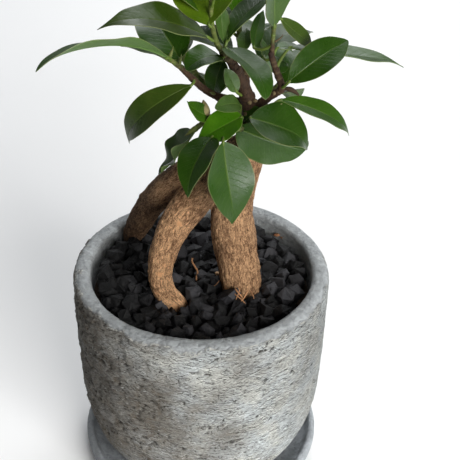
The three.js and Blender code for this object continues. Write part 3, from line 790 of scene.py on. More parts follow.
class FicusPotSettings(bpy.types.PropertyGroup):
    """Sizes and colours of the pot and its saucer."""

    rim_radius: bpy.props.FloatProperty(
        name="Rim radius", description="Outer radius of the pot's rim", default=0.065, unit="LENGTH")
    rim_height: bpy.props.FloatProperty(
        name="Rim height", description="Height of the rim's top above the table",
        default=0.118, unit="LENGTH")
    wall: bpy.props.FloatProperty(
        name="Wall", description="Thickness of the pot's wall at the rim", default=0.0087, unit="LENGTH")
    pits: bpy.props.IntProperty(
        name="Pits", description="Pits and fissures pressed into the pot's side", default=1500, min=0)
    stone: bpy.props.FloatVectorProperty(
        name="Stone", description="Colour of the pot's rough side", subtype="COLOR",
        default=(0.495, 0.502, 0.488))
    rim_band: bpy.props.FloatVectorProperty(
        name="Rim band", description="Colour of the smooth rim", subtype="COLOR",
        default=(0.258, 0.272, 0.279))
    saucer_radius: bpy.props.FloatProperty(
        name="Saucer radius", description="Outer radius of the saucer", default=0.064, unit="LENGTH")
    saucer_height: bpy.props.FloatProperty(
        name="Saucer height", description="Height of the saucer's rim", default=0.013, unit="LENGTH")
    saucer: bpy.props.FloatVectorProperty(
        name="Saucer", description="Colour of the saucer", subtype="COLOR", default=(0.235, 0.25, 0.265))


class FicusPlantSettings(bpy.types.PropertyGroup):
    """Sizes and colours of the roots, twigs and leaves."""

    bark_step: bpy.props.FloatProperty(
        name="Bark detail", description="Grid size of the bark's mesh", default=0.00058, unit="LENGTH")
    leaf_thickness: bpy.props.FloatProperty(
        name="Leaf thickness", description="Thickness of a blade beside its midrib",
        default=0.0005, unit="LENGTH")
    bark: bpy.props.FloatVectorProperty(
        name="Bark", description="Colour of the roots' ridges", subtype="COLOR", default=(0.57, 0.335, 0.175))
    furrow: bpy.props.FloatVectorProperty(
        name="Furrows", description="Colour between the roots' ridges", subtype="COLOR",
        default=(0.15, 0.072, 0.033))
    leaf: bpy.props.FloatVectorProperty(
        name="Leaf", description="Colour of a grown leaf", subtype="COLOR", default=(0.0178, 0.054, 0.0022))
    young: bpy.props.FloatVectorProperty(
        name="Veins and stalks", description="Colour of midribs, stalks and tips", subtype="COLOR",
        default=(0.17, 0.24, 0.045))
    twig: bpy.props.FloatVectorProperty(
        name="Twig", description="Colour of the twigs' bark", subtype="COLOR", default=(0.060, 0.031, 0.014))


class FicusChipSettings(bpy.types.PropertyGroup):
    """Sizes and colours of what fills the pot."""

    spacing: bpy.props.FloatProperty(
        name="Spacing", description="Least distance between chips of one layer",
        default=0.0052, unit="LENGTH")
    smallest: bpy.props.FloatProperty(
        name="Smallest chip", description="Width of the smallest chip", default=0.0045, unit="LENGTH")
    largest: bpy.props.FloatProperty(
        name="Largest chip", description="Width of the largest chip", default=0.0099, unit="LENGTH")
    charcoal: bpy.props.FloatVectorProperty(
        name="Charcoal", description="Colour of the chips", subtype="COLOR", default=(0.0115, 0.0112, 0.0125))
    soil: bpy.props.FloatVectorProperty(
        name="Soil", description="Colour of the soil", subtype="COLOR", default=(0.035, 0.022, 0.014))
    fibre: bpy.props.FloatVectorProperty(
        name="Fibres", description="Colour of loose fibres and crumbs", subtype="COLOR",
        default=(0.30, 0.15, 0.07))


class FicusStageSettings(bpy.types.PropertyGroup):
    """The floor, the lights and the camera."""

    floor: bpy.props.FloatVectorProperty(
        name="Floor", description="Colour of the floor", subtype="COLOR", default=(0.84, 0.84, 0.84))
    surround: bpy.props.FloatProperty(
        name="Surround", description="Strength of the light from all around", default=0.27)
    window: bpy.props.FloatProperty(
        name="Window", description="Power of the large light behind", default=25.0, unit="POWER")
    key: bpy.props.FloatProperty(
        name="Key", description="Power of the light at the right", default=29.0, unit="POWER")


# ---------------------------------------------------------------- pot and saucer

SAUCER_PITS = 170

def ring_grid(profile, columns):
    """Points of a turned surface, a row for each (radius, height) of its profile, and the columns' angles."""
    angles = np.linspace(-math.pi, math.pi, columns, endpoint=False)
    radii, heights = profile[:, 0][:, None], profile[:, 1][:, None]
    return np.stack([radii * np.cos(angles), radii * np.sin(angles), heights + 0 * angles], axis=-1), angles


def push_out(points, profile, push, closed):
    """Moves the points of a turned surface to the right of its profile, as that is followed."""
    if closed:
        ahead = unit(np.roll(profile, -1, axis=0) - np.roll(profile, 1, axis=0))
    else:
        ahead = unit(np.gradient(profile, axis=0))
    points = points + unit(points * (1, 1, 0)) * (ahead[:, 1][:, None] * push)[..., None]
    points[..., 2] -= ahead[:, 0][:, None] * push
    return points


def quarter(centre_r, centre_z, wide, high, steps):
    """Points on a quarter of an ellipse, from below its centre to beside it."""
    turns = [math.pi / 2 * k / steps for k in range(steps + 1)]
    return [(centre_r + wide * math.sin(a), centre_z - high * math.cos(a)) for a in turns]


def press_pits(shape, rows, radii, wobble, pits):
    """A field of depths with this shape, (rows, columns), that pits are pressed into.

    rows are the rows' places along the profile. A pit is (share of the turn, place along the profile,
    half width, half height, depth).
    """
    field, columns = np.zeros(shape), shape[1]
    widths = np.maximum(radii * 2 * math.pi / columns, 0.2)
    for turn, place, wide, high, depth in pits:
        chosen = np.nonzero(np.abs(rows - place) < high * 1.7)[0]
        if not len(chosen):
            continue
        step = widths[chosen[len(chosen) // 2]]
        reach = int(math.ceil(wide * 1.7 / step))
        middle = turn * columns
        beside = np.arange(int(middle) - reach, int(middle) + reach + 1)
        index = np.ix_(chosen, beside % columns)
        u = (beside - middle)[None, :] * step / wide
        v = (rows[chosen] - place)[:, None] / high
        bowl = eased(1.2 - np.sqrt(u * u + v * v) + wobble[index] * 0.55, 0.0, 0.62)
        field[index] = np.maximum(field[index], depth * bowl)
    return field


class FICUS_OT_turn_saucer(bpy.types.Operator):
    """Turns the saucer: a shallow, smoothly trowelled stone dish"""

    bl_idname = "ficus.turn_saucer"
    bl_label = "Saucer"

    def execute(self, context):
        pot = context.scene.ficus_pot
        r, h, f = pot.saucer_radius / MM, pot.saucer_height / MM, SAUCER_FLOOR
        path, _, _ = Curve([
            (r - 8, 0, 0), (r - 3.5, 0, 1.5), (r - 0.8, 0, 5.5), (r, 0, h - 2.5), (r - 0.6, 0, h - 0.6),
            (r - 2, 0, h), (r - 3.4, 0, h - 0.6), (r - 4, 0, h - 2.5), (r - 5.5, 0, f + 1.5), (r - 9, 0, f),
        ]).even(0.85)
        under = [(x, 0.0) for x in (6, 18, 30, 42, 50)]
        floor = [(x, f) for x in (51, 46, 40, 30, 20, 10, 4)]
        profile = np.array(under + [(p[0], p[2]) for p in path] + floor)
        rows, columns = len(profile), SAUCER_COLUMNS
        points, _ = ring_grid(profile, columns)
        run = run_along(profile)
        draw = random.Random(12)
        sizes = (run[len(under) + 6], run[-len(floor)]), (0.5, 1.3), (0.4, 0.8), (0.2, 0.7)
        pits = [(draw.random(), *spans(draw, *sizes)) for _ in range(SAUCER_PITS)]
        field = press_pits((rows, columns), run, profile[:, 0], grain(points, 1.2, 2, 2.0), pits)
        swell = grain(points, 16, 3, 4.0) * 0.22 + grain(points, 3.0, 3, 9.0) * 0.10
        points = push_out(points, profile, (swell - field) * eased(points[..., 2], 0.2, 2.0), closed=False)
        # The underside and the floor close on a point each.
        pole, end = rows * columns, (rows - 1) * columns
        faces = grid_faces(rows, columns, wrap_columns=True)
        faces += [(pole, (k + 1) % columns, k) for k in range(columns)]
        faces += [(pole + 1, end + k, end + (k + 1) % columns) for k in range(columns)]
        wear = np.zeros((pole + 2, 3)) + (0.0, 0.93, 0.4)
        # The pit channel is painted dark as shade by the stone's finish.
        wear[:pole, 0] = np.clip(field.ravel() / 0.8, 0, 1)
        dish = Shape()
        dish.add(np.concatenate([points.reshape(-1, 3), [(0, 0, 0)], [(0, 0, f)]]), faces, wear=wear)
        finish = stone_finish("saucer_stone_finish", pot.saucer, pot.saucer, (0.12, 0.10, 0.08), 0.3)
        finish_piece(dish.object("saucer_dish"), finish, "saucer_stone", "saucer")
        return {"FINISHED"}


def pot_profile(pot):
    """The pot's worked outside and rim as a path, and its plain inside, drain hole and underside."""
    rim, top, inner = pot.rim_radius / MM, pot.rim_height / MM, (pot.rim_radius - pot.wall) / MM
    base, drain, foot, hollow = SAUCER_FLOOR + GAP, 6.0, 37.0, 31.0
    shoulder, inside = base + 50, base + 10
    outside = quarter(foot, shoulder, rim - 1.2 - foot, 50, 7) + [
        (rim - 0.2, (shoulder + top) / 2), (rim, top - 8), (rim - 0.4, top - 3), (rim - 2.2, top - 0.5),
        (rim - 4, top), (inner + 1.6, top - 0.2), (inner + 0.2, top - 1.6), (inner, top - 5),
        (inner - 0.1, top - 14),
    ]
    path, _, _ = Curve([(r, 0, z) for r, z in outside]).even(0.86)
    within = [(inner - 0.2, 92), (inner - 0.4, 74), (inner - 0.5, shoulder)]
    within += quarter(hollow, shoulder, inner - 0.5 - hollow, shoulder - inside, 6)[::-1][1:]
    within += [(18, inside), (drain + 0.6, inside), (drain, inside - 0.6), (drain, base + 0.6)]
    within += [(drain + 0.6, base), (18, base), (30, base)]
    return path, within


def pot_pits(count, rough, run, highest):
    """Pits and cracks, most of them where the side is rough, and chips and pinholes at the rim."""
    draw = random.Random(31)
    edge = run[highest]
    pits = []
    while len(pits) < count:
        turn, place = draw.random(), draw.uniform(0, edge - 2)
        row = min(int(np.searchsorted(run, place)), highest)
        strong = rough[row, int(turn * rough.shape[1])]
        if draw.random() > strong**1.6 + 0.05:
            continue
        if draw.random() < 0.6 * strong:
            pits.append((turn, place, *spans(draw, (0.8, 2.8), (0.35, 0.65), (0.25, 0.8))))
        else:
            size = 0.35 + 0.85 * draw.random() ** 3
            wide, depth = spans(draw, (0.9, 1.5), (0.3, 1.2))
            pits.append((turn, place, size * wide, size, depth))
    for _ in range(170):  # short level cracks
        place = draw.uniform(4, edge - 7)
        pits.append((draw.random(), place, *spans(draw, (1.3, 2.7), (0.36, 0.55), (0.5, 1.1))))
    for _ in range(44):  # deep holes
        place, size = spans(draw, (6, edge - 8), (0.6, 1.15))
        pits.append((draw.random(), place, size * draw.uniform(1.0, 1.7), size, draw.uniform(1.1, 1.7)))
    for _ in range(150):  # pinholes on the rim
        place, size = spans(draw, (edge - 4, edge + 7), (0.3, 0.62))
        pits.append((draw.random(), place, size, size, draw.uniform(0.2, 0.45)))
    for _ in range(46):  # chipped places just below the rim, most of them at the left
        turn = (1.02 + 0.5 * draw.uniform(-1, 1) * draw.random()) % 1.0
        place = edge - draw.uniform(7.0, 10.5)
        pits.append((turn, place, *spans(draw, (0.8, 2.2), (0.5, 1.0), (0.4, 0.9))))
    return pits


class FICUS_OT_turn_pot(bpy.types.Operator):
    """Turns the pot: rough, layered and pitted at its side, smooth at its rim, with a drain hole"""

    bl_idname = "ficus.turn_pot"
    bl_label = "Pot"

    def execute(self, context):
        pot = context.scene.ficus_pot
        top, base = pot.rim_height / MM, SAUCER_FLOOR + GAP
        path, within = pot_profile(pot)
        profile = np.array([(p[0], p[2]) for p in path] + within)
        rows, worked, columns = len(profile), len(path), POT_COLUMNS
        points, angles = ring_grid(profile, columns)
        skin = points[:worked]
        run, highest = run_along(path), int(np.argmax(path[:, 2]))
        # The rough body gives way to the smooth rim band along a ragged line.
        side = 0.70 - 0.30 * np.cos(angles - 0.25)[None, :] + grain(skin, 30, 2, 8.0) * 0.25
        side = np.clip(side, 0.12, 1.1)
        ragged = grain(skin, 6.0, 4, 3.0) * 1.9 - 1.5 * eased(side, 0.6, 1.0)
        band = eased(skin[..., 2] + ragged, top - 3.7, top - 1.6)
        band[highest:] = np.maximum(band[highest:], 0.9)
        rough = (1 - band) * side
        stretched = skin * (1, 1, 2.4)
        lumps = grain(stretched, 13, 3, 1.0) * 0.46 * rough + grain(skin, 24, 2, 5.0) * 0.35
        torn = eased(grain(skin * (1, 1, 1.7), 15.0, 4, 6.0) + (side - 0.6) * 0.5, -0.12, 0.30) * rough
        crumbs = grain(skin * (1, 1, 1.8), 2.3, 3, 7.0)
        creases = -np.abs(grain(skin * (1, 1, 2.6), 4.4, 3, 13.0))
        grit = (crumbs * 0.40 + creases * 0.75) * (0.20 + 0.80 * torn) * (0.35 + 0.65 * rough)
        # Level plates that broke off in steps.
        plates = eased(grain(skin * (1, 1, 2.7), 9.0, 3, 17.0), -0.05, 0.07) * 1.05
        plates = plates + eased(grain(skin * (1, 1, 3.2), 4.4, 2, 23.0), -0.04, 0.10) * 0.45
        shelves = (plates - 1.15) * torn * (0.35 + 0.45 * side)
        trowel = grain(skin * (1, 1, 3.0), 5.0, 3, 2.0) * 0.14 * band
        pits = pot_pits(pot.pits, rough, run, highest)
        field = press_pits((worked, columns), run, path[:, 0], grain(stretched, 2.2, 2, 11.0), pits)
        push = np.zeros((rows, columns))
        push[:worked] = lumps + shelves + grit + trowel - field
        push *= eased(points[..., 2], base + 0.3, base + 4.0)
        push[worked - 6:worked] *= np.linspace(1, 0, 6)[:, None]
        points = push_out(points, profile, push, closed=True)
        wear = np.zeros((rows, columns, 3))
        # The pit channel, pits and deep creases, is painted dark as shade by the stone's finish.
        wear[:worked, :, 0] = np.clip(field * 0.85 + np.clip(-grit - 0.10, 0, 1) * 0.9, 0, 1)
        wear[:worked, :, 1], wear[:worked, :, 2] = band, side
        wear[worked:, :, 1] = 0.7
        body = Shape()
        body.add(points, grid_faces(rows, columns, True, True), wear=wear.reshape(-1, 3))
        finish = stone_finish("pot_stone_finish", pot.stone, pot.rim_band, (0.15, 0.118, 0.082), 1.0)
        finish_piece(body.object("pot_body"), finish, "pot_stone", "pot")
        return {"FINISHED"}


# ---------------------------------------------------------------- soil, chips and litter


class FICUS_OT_dress_soil(bpy.types.Operator):
    """Gives the soil under the chips its crumbly material"""

    bl_idname = "ficus.dress_soil"
    bl_label = "Soil"

    def execute(self, context):
        soil = frame["nodes"]["soil"]
        finish = soil_finish(context.scene.ficus_chips.soil)
        if not soil.material_slots:
            soil.data.materials.append(finish)
        for slot in soil.material_slots:
            slot.material = finish
        return {"FINISHED"}


# Where the chips are heaped or hollowed: (x, y, height, spread squared).
CHIP_MOUNDS = [(-34, 25, 2.4, 150), (13, -13, 4.4, 120), (24, -15, 3.4, 120), (-14, -23, -1.8, 60)]
# Where the roots pass through the chips: (x, y, radius).
ROOT_FEET = [(20.5, -8, 9.8), (-12.0, -18, 5.2), (-37.5, 34.5, 4.8)]
# Grid size of the beds, the number of different chips, and the fewest faces that a full heap has.
BED_STEP = 2.0
CHIP_KINDS = 16
FEWEST_CHIP_FACES = 5000


def chip_height(x, y):
    """Height of the chips' bed above its lowest level, in millimetres."""
    height = noise.noise(Vector((x / 17, y / 17, 4.0))) * 0.9
    height += 2.2 * float(eased(math.hypot(x, y), 36, 52)) * (0.75 + 0.25 * y / 52)
    height += 2.0 * float(eased(-x, 28, 50))
    for centre_x, centre_y, rise, spread in CHIP_MOUNDS:
        height += rise * math.exp(-((x - centre_x) ** 2 + (y - centre_y) ** 2) / spread)
    return height


def chip_scale(x, y):
    """Size of the chips at a place: smaller at the front, larger at the left and back."""
    return 1.08 - 0.30 * math.exp(-((x + 2) ** 2 + (y + 42) ** 2) / 620)


def chip_bed(name, level, radius, clear):
    """A round sheet at a level for chips to lie on, open where the roots pass through."""
    side = int(radius // BED_STEP) + 1
    sheet = bmesh.new()
    corner = {}
    for i in range(-side, side + 1):
        for j in range(-side, side + 1):
            x, y = i * BED_STEP, j * BED_STEP
            inside = math.hypot(x, y) <= radius
            if inside and all(math.hypot(x - cx, y - cy) >= r + clear for cx, cy, r in ROOT_FEET):
                corner[i, j] = sheet.verts.new(Vector((x, y, level + chip_height(x, y))) * MM)
    for i, j in corner:
        around = [(i, j), (i + 1, j), (i + 1, j + 1), (i, j + 1)]
        if all(k in corner for k in around):
            sheet.faces.new([corner[k] for k in around])
    mesh = bpy.data.meshes.new(name)
    sheet.to_mesh(mesh)
    sheet.free()
    scale = mesh.attributes.new("chip_scale", "FLOAT", "POINT")
    scale.data.foreach_set("value", [chip_scale(v.co.x / MM, v.co.y / MM) for v in mesh.vertices])
    return add_object(name, mesh)


def chip_kinds(count, seed):
    """A few broken chips, each a closed block of flat faces, one unit wide."""
    kinds = bpy.data.collections.new("chip_kinds")
    draw = random.Random(seed)
    corners = [Vector((x, y, z)) * 0.40 for x in (-1, 1) for y in (-1, 1) for z in (-1, 1)]
    corners += [Vector(way) * 0.54 for way in np.concatenate([np.eye(3), -np.eye(3)]).tolist()]
    for k in range(count):
        block = bmesh.new()
        stretch = Vector(spans(draw, (0.85, 1.32), (0.62, 1.0), (0.56, 0.88)))
        for corner in corners:
            block.verts.new((corner + Vector(spans(draw, *[(-0.15, 0.15)] * 3))) * stretch)
        bmesh.ops.convex_hull(block, input=block.verts)
        within = [corner for corner in block.verts if not corner.link_faces]
        bmesh.ops.delete(block, geom=within, context="VERTS")
        # Some broken faces are slightly hollow.
        large = sorted(block.faces, key=lambda side: -side.calc_area())[:8]
        for corner in bmesh.ops.poke(block, faces=large, offset=0.0)["verts"]:
            corner.co *= draw.uniform(0.88, 1.04)
        bmesh.ops.recalc_face_normals(block, faces=block.faces)
        mesh = bpy.data.meshes.new(f"chip_kind_{k}")
        block.to_mesh(mesh)
        block.free()
        kinds.objects.link(bpy.data.objects.new(f"chip_kind_{k}", mesh))
    return kinds


def chip_tree(kinds, material):
    """Nodes that scatter broken chips over a sheet and end in plain faces with their material."""
    tree = bpy.data.node_groups.new("scatter_chips", "GeometryNodeTree")
    sockets = {
        "Geometry": "Geometry", "Spacing": "Float", "Smallest": "Float", "Largest": "Float",
        "Seed": "Int",
    }
    for name, kind in sockets.items():
        tree.interface.new_socket(name, in_out="INPUT", socket_type="NodeSocket" + kind)
    tree.interface.new_socket("Geometry", in_out="OUTPUT", socket_type="NodeSocketGeometry")
    start = add_node(tree, "NodeGroupInput").outputs

    def add(kind, output, inputs, **settings):
        return add_node(tree, kind, inputs, **settings).outputs[output]

    def drawn(number, kind, limits, low, high):
        """A random value for each chip. limits is the place of this kind's lower limit among the inputs."""
        seed = add("FunctionNodeIntegerMath", 0, {0: start["Seed"], 1: 7 * number}, operation="ADD")
        inputs = {limits: low, limits + 1: high, "Seed": seed}
        return add("FunctionNodeRandomValue", limits // 2, inputs, data_type=kind)

    pick = drawn(1, "INT", 4, 0, len(kinds.objects) - 1)
    turn = drawn(2, "FLOAT_VECTOR", 0, (-1.1, -1.1, 0.0), (1.1, 1.1, 2 * math.pi))
    size = drawn(3, "FLOAT", 2, start["Smallest"], start["Largest"])
    tone = drawn(4, "FLOAT_VECTOR", 0, (0.0, 0.0, 0.0), (1.0, 1.0, 1.0))
    local = add("GeometryNodeInputNamedAttribute", 0, {"Name": "chip_scale"}, data_type="FLOAT")
    sized = add("ShaderNodeMath", 0, {0: size, 1: local}, operation="MULTIPLY")
    spots = add("GeometryNodeDistributePointsOnFaces", "Points", {
        "Mesh": start["Geometry"], "Distance Min": start["Spacing"], "Density Max": 400000.0,
        "Seed": start["Seed"],
    }, distribute_method="POISSON")
    source = add("GeometryNodeCollectionInfo", 0, {
        "Collection": kinds, "Separate Children": True, "Reset Children": True,
    }, transform_space="ORIGINAL")
    chips = add("GeometryNodeInstanceOnPoints", 0, {
        "Points": spots, "Instance": source, "Pick Instance": True, "Instance Index": pick,
        "Rotation": turn, "Scale": sized,
    })
    chips = add("GeometryNodeStoreNamedAttribute", 0, {
        "Geometry": chips, "Name": "chip_tone", "Value": tone,
    }, data_type="FLOAT_VECTOR", domain="INSTANCE")
    chips = add("GeometryNodeRealizeInstances", 0, {0: chips})
    chips = add("GeometryNodeSetMaterial", 0, {"Geometry": chips, "Material": material})
    add_node(tree, "NodeGroupOutput", {0: chips})
    return tree


class FICUS_OT_scatter_chips(bpy.types.Operator):
    """Scatters the charcoal chips in layers over the soil and round the roots"""

    bl_idname = "ficus.scatter_chips"
    bl_label = "Charcoal chips"

    def execute(self, context):
        sizes = context.scene.ficus_chips
        gap, small, large = sizes.spacing, sizes.smallest, sizes.largest
        coal = charcoal_finish(sizes.charcoal)
        kinds = chip_kinds(CHIP_KINDS, 3)
        tree = chip_tree(kinds, coal)
        inputs = [item for item in tree.interface.items_tree if item.in_out == "INPUT"]
        sockets = {item.name: item.identifier for item in inputs}
        names = "Spacing", "Smallest", "Largest", "Seed"
        # Level, radius and clearance at the roots of each layer's bed, and its values for those names.
        layers = [
            (105.4, 51.6, 1.0, (gap * 0.9, small, large * 0.8, 3)),
            (107.8, 51.2, 1.8, (gap, small, large * 0.92, 8)),
            (109.8, 50.4, 2.8, (gap * 1.45, small * 1.1, large, 15)),
        ]
        heap = bmesh.new()
        for number, (level, radius, clear, values) in enumerate(layers):
            sheet = chip_bed(f"chip_layer_{number}", level, radius, clear)
            modifier = sheet.modifiers.new("scatter", "NODES")
            modifier.node_group = tree
            for name, value in zip(names, values):
                modifier[sockets[name]] = value
            seen = sheet.evaluated_get(context.evaluated_depsgraph_get())
            layer = bpy.data.meshes.new_from_object(seen)
            heap.from_mesh(layer)
            sheet.modifiers.clear()
            bpy.data.meshes.remove(layer)
            bpy.data.meshes.remove(sheet.data)
        mesh = bpy.data.meshes.new("charcoal_heap")
        heap.to_mesh(mesh)
        heap.free()
        if len(mesh.polygons) < FEWEST_CHIP_FACES:
            raise RuntimeError("the chips weren't scattered")
        for kind in list(kinds.objects):
            bpy.data.meshes.remove(kind.data)
        bpy.data.collections.remove(kinds)
        bpy.data.node_groups.remove(tree)
        mesh.shade_flat()
        finish_piece(add_object("charcoal_heap", mesh), coal, "charcoal", "charcoal_chips")
        return {"FINISHED"}


# Loose fibres: points, radius at each end and brightness.
FIBRES = [
    ([(16.5, -20.6, 118.9), (18, -23, 118.1), (19.8, -24, 116.3), (20.6, -23.8, 112.9)], 0.46, 0.28, 1.3),
    ([(14.8, -19.8, 116.5), (17, -23.4, 116.9), (19.6, -24.8, 115.5), (21.6, -24.4, 112.5)], 0.4, 0.24, 1),
    ([(22.8, -21.6, 118.5), (21.4, -24, 116.9), (19.6, -25.2, 114.7), (18.6, -24.8, 112.3)], 0.42, 0.24, 1.2),
    ([(24.4, -21, 117.5), (25.6, -23.4, 115.9), (25.8, -24.4, 112.9)], 0.32, 0.18, 0.9),
    ([(18.8, -21.8, 120.5), (18.4, -23, 118.5), (17.2, -24.2, 115.9), (16.4, -24.6, 112.5)], 0.34, 0.2, 1.1),
    ([(-4.6, 4.4, 119.2), (-4.9, 3.4, 118.0), (-3.4, 1.6, 116.0), (-2.0, 0.2, 113.8), (-2.6, -1.2, 111.2),
      (-2.2, -2.6, 107.6)], 0.50, 0.42, 0.85),
    ([(9.0, -9.4, 115.4), (7.4, -11.6, 114.6), (4.6, -12.8, 113.0)], 0.24, 0.14, 0.7),
]
# Loose crumbs: place, size and colour factors.
CRUMBS = [
    ((8.0, -1.4, 113.6), 1.25, (1.7, 2.2, 2.6)), ((6.6, -3.8, 111.8), 1.35, (1.3, 1.5, 1.4)),
    ((9.4, -4.6, 112.0), 0.8, (1.3, 1.7, 1.8)),
    ((46.5, 35.5, 111.8), 2.0, (0.85, 0.85, 0.95)), ((41.2, 37.4, 111.0), 1.5, (0.9, 0.8, 0.8)),
    ((43.8, 36.0, 110.4), 1.0, (0.8, 0.9, 1.1)), ((-41.0, 22.0, 111.4), 1.0, (0.8, 0.9, 0.9)),
]


def add_crumb(shape, centre, size, tint, draw):
    """A small irregular crumb."""
    block = bmesh.new()
    bmesh.ops.create_icosphere(block, subdivisions=2, radius=1.0)
    stretch = Vector(spans(draw, (0.8, 1.3), (0.7, 1.0), (0.5, 0.8)))
    points = []
    for corner in block.verts:
        reach = 1 + 0.5 * noise.noise(corner.co * 1.6 + Vector(centre))
        points.append((corner.co * stretch * size * reach + Vector(centre))[:])
    shape.add(points, [tuple(v.index for v in face.verts) for face in block.faces], litter_tint=tint)
    block.free()


class FICUS_OT_lay_litter(bpy.types.Operator):
    """Lays the fine root fibres, the loose twig and the bark crumbs on the chips"""

    bl_idname = "ficus.lay_litter"
    bl_label = "Fibres and crumbs"

    def execute(self, context):
        draw = random.Random(4)
        litter = Shape()
        for route, thick, thin, light in FIBRES:
            path, _, shares = Curve(route).even(0.5)
            path = path + np.array([spans(draw, *[(-0.06, 0.06)] * 3) for _ in path])
            radii = thick + (thin - thick) * shares
            litter.tube(path, radii, FIBRE_SIDES, litter_tint=(light, light, light))
        for centre, size, tint in CRUMBS:
            add_crumb(litter, centre, size, tint, draw)
        finish_piece(litter.object("root_fibres"), litter_finish(context.scene.ficus_chips.fibre), "bark")
        return {"FINISHED"}


# ---------------------------------------------------------------- roots

# Where each limb's bark pattern starts, far enough apart for no two limbs to share it.
BARK_STARTS = {"right": 0, "middle": 400, "back": 800, "trunk": 1200}
# How many points are compared with the limbs at once.
CHUNK = 4000
# Lighter worn spots on the bark: (x, y, z, radius).
SCARS = [
    (-15.0, -17.5, 149.1, 1.5), (-16.6, -18.5, 142.5, 1.7), (-17.6, -20.4, 132.0, 1.8),
    (-20.5, -19.5, 127.0, 1.3),
    (-10.5, -13.0, 152.0, 1.2), (-13.0, -23.0, 108.5, 2.2), (-22.0, -20.0, 116.0, 1.2),
    (17.0, -15.5, 128.0, 1.3), (22.0, -15.0, 146.0, 1.2), (12.0, -14.5, 114.0, 1.4), (14.0, 8.5, 140.0, 1.5),
]
# Swellings: (x, y, z, radius, height).
KNOTS = [
    (-14.5, -19.0, 140.5, 6.0, 1.0), (-19.5, -17.5, 139.0, 5.0, 0.8), (-23.5, -19.5, 121.0, 5.5, 0.7),
    (-33.0, 20.0, 139.0, 4.0, 1.0), (-31.0, 22.0, 146.0, 3.4, 0.9), (-18.0, -21.5, 112.0, 5.0, 0.6),
    (27.5, -10.0, 124.0, 7.0, 0.6), (13.5, -13.0, 108.0, 6.0, 0.8), (27.0, -14.0, 106.5, 5.0, 0.7),
]
# The split between the middle root and the trunk.
SPLIT = [(-5.2, -12.6, 175.0), (-1.6, -12.4, 171.5), (2.2, -11.4, 168.0), (6.4, -10.6, 163.6)]


class FICUS_OT_grow_roots(bpy.types.Operator):
    """Grows the thick roots and the trunk as one piece of bark-covered wood"""

    bl_idname = "ficus.grow_roots"
    bl_label = "Roots and trunk"

    def execute(self, context):
        plant = context.scene.ficus_plant
        core, samples = Shape(), []
        for name, points in {**ROOTS, "trunk": TRUNK}.items():
            path, radii, _ = Curve(points).even(CORE_STEP)
            core.tube(path, radii, ROOT_SIDES)
            _, across, upward = directions(path)
            run = np.arange(len(path)) * CORE_STEP + BARK_STARTS[name]
            samples.append(np.column_stack([path, radii, across, upward, run]))
        raw = core.object("root_core")
        remesh = raw.modifiers.new("weld", "REMESH")
        remesh.mode, remesh.voxel_size, remesh.adaptivity = "VOXEL", plant.bark_step, 0.0
        ease = raw.modifiers.new("ease", "SMOOTH")
        ease.factor, ease.iterations = 0.5, 9
        mesh = bpy.data.meshes.new_from_object(raw.evaluated_get(context.evaluated_depsgraph_get()))
        bpy.data.meshes.remove(raw.data)
        mesh.name = "root_wood"

        points, normals = read_vectors(mesh, "co") / MM, read_vectors(mesh, "normal")
        count, rows = len(points), np.concatenate(samples)
        near = np.empty(count, int)
        for start in range(0, count, CHUNK):
            gap = points[start:start + CHUNK, None] - rows[None, :, :3]
            near[start:start + CHUNK] = np.argmin(np.linalg.norm(gap, axis=2) / rows[None, :, 3], axis=1)
        found = rows[near]
        away = points - found[:, :3]
        straight = np.column_stack([
            np.sum(away * found[:, 4:7], axis=1), np.sum(away * found[:, 7:10], axis=1), found[:, 10],
        ])

        thick = np.clip(found[:, 3] / 9.0, 0.45, 1.1)
        swell = grain(straight * (1, 1, 0.5), 11.0, 2, 3.0) * 0.75 * thick
        knots = grain(straight, 4.0, 2, 7.0) * 0.16 * thick
        rings = grain(straight * (0.25, 0.25, 1), 3.2, 2, 9.0) * 0.16
        for x, y, z, radius, height in KNOTS:
            reach = np.linalg.norm((points - (x, y, z)) * (1, 1, 1.5), axis=1)
            knots += height * eased(radius - reach, 0, radius)
        groove = bark_net(straight)
        split = crack(points, SPLIT)
        moved = points + normals * (swell + knots + rings - groove * 0.42 * thick - split * 1.1)[:, None]
        mesh.vertices.foreach_set("co", (moved * MM).astype(np.float32).ravel())
        mesh.update()
        mesh.shade_smooth()
        scar = np.zeros(count)
        for x, y, z, radius in SCARS:
            reach = np.linalg.norm(points - (x, y, z), axis=1) + grain(points, 1.6, 1, 5.0) * 0.8
            scar = np.maximum(scar, eased(radius * 1.5 - reach, 0, radius * 0.8))
        # Painted light and shade: the middle root is painted the palest and the back root the dullest.
        middle = eased(points[:, 1], 5, -1) * eased(points[:, 0], 4, -10)
        light = 0.86 + 0.52 * middle - 0.40 * eased(points[:, 1], 5, 14)
        write_vectors(mesh, "bark_co", straight)
        wear = groove * (1 - scar), scar, np.clip(split * 0.9, 0, 1)
        write_vectors(mesh, "bark_wear", np.column_stack(wear))
        write_vectors(mesh, "bark_painted_light", np.column_stack([light, light, light]))
        made = add_object("root_wood", mesh)
        finish_piece(made, bark_finish(plant.bark, plant.furrow), "bark", "roots_and_trunk")
        return {"FINISHED"}


def bark_net(straight):
    """Depth, 0 to 1, of the short furrows that net the bark and run along the root."""
    where = straight * (1 / 2.3, 1 / 2.3, 1 / 5.4)
    bend = [grain(straight, size, 2, shift) for size, shift in ((2.6, 20.0), (2.6, 40.0), (4.0, 60.0))]
    where = where + np.stack(bend, -1) * (0.5, 0.5, 0.35)
    gaps = []
    for point in where:
        distances, _ = noise.voronoi(Vector(point))
        gaps.append(distances[1] - distances[0])
    lines = 1 - eased(np.array(gaps), 0.0, 0.34)
    broken = eased(grain(straight, 3.0, 2, 80.0), -0.45, 0.25)
    return lines * (0.25 + 0.75 * broken)


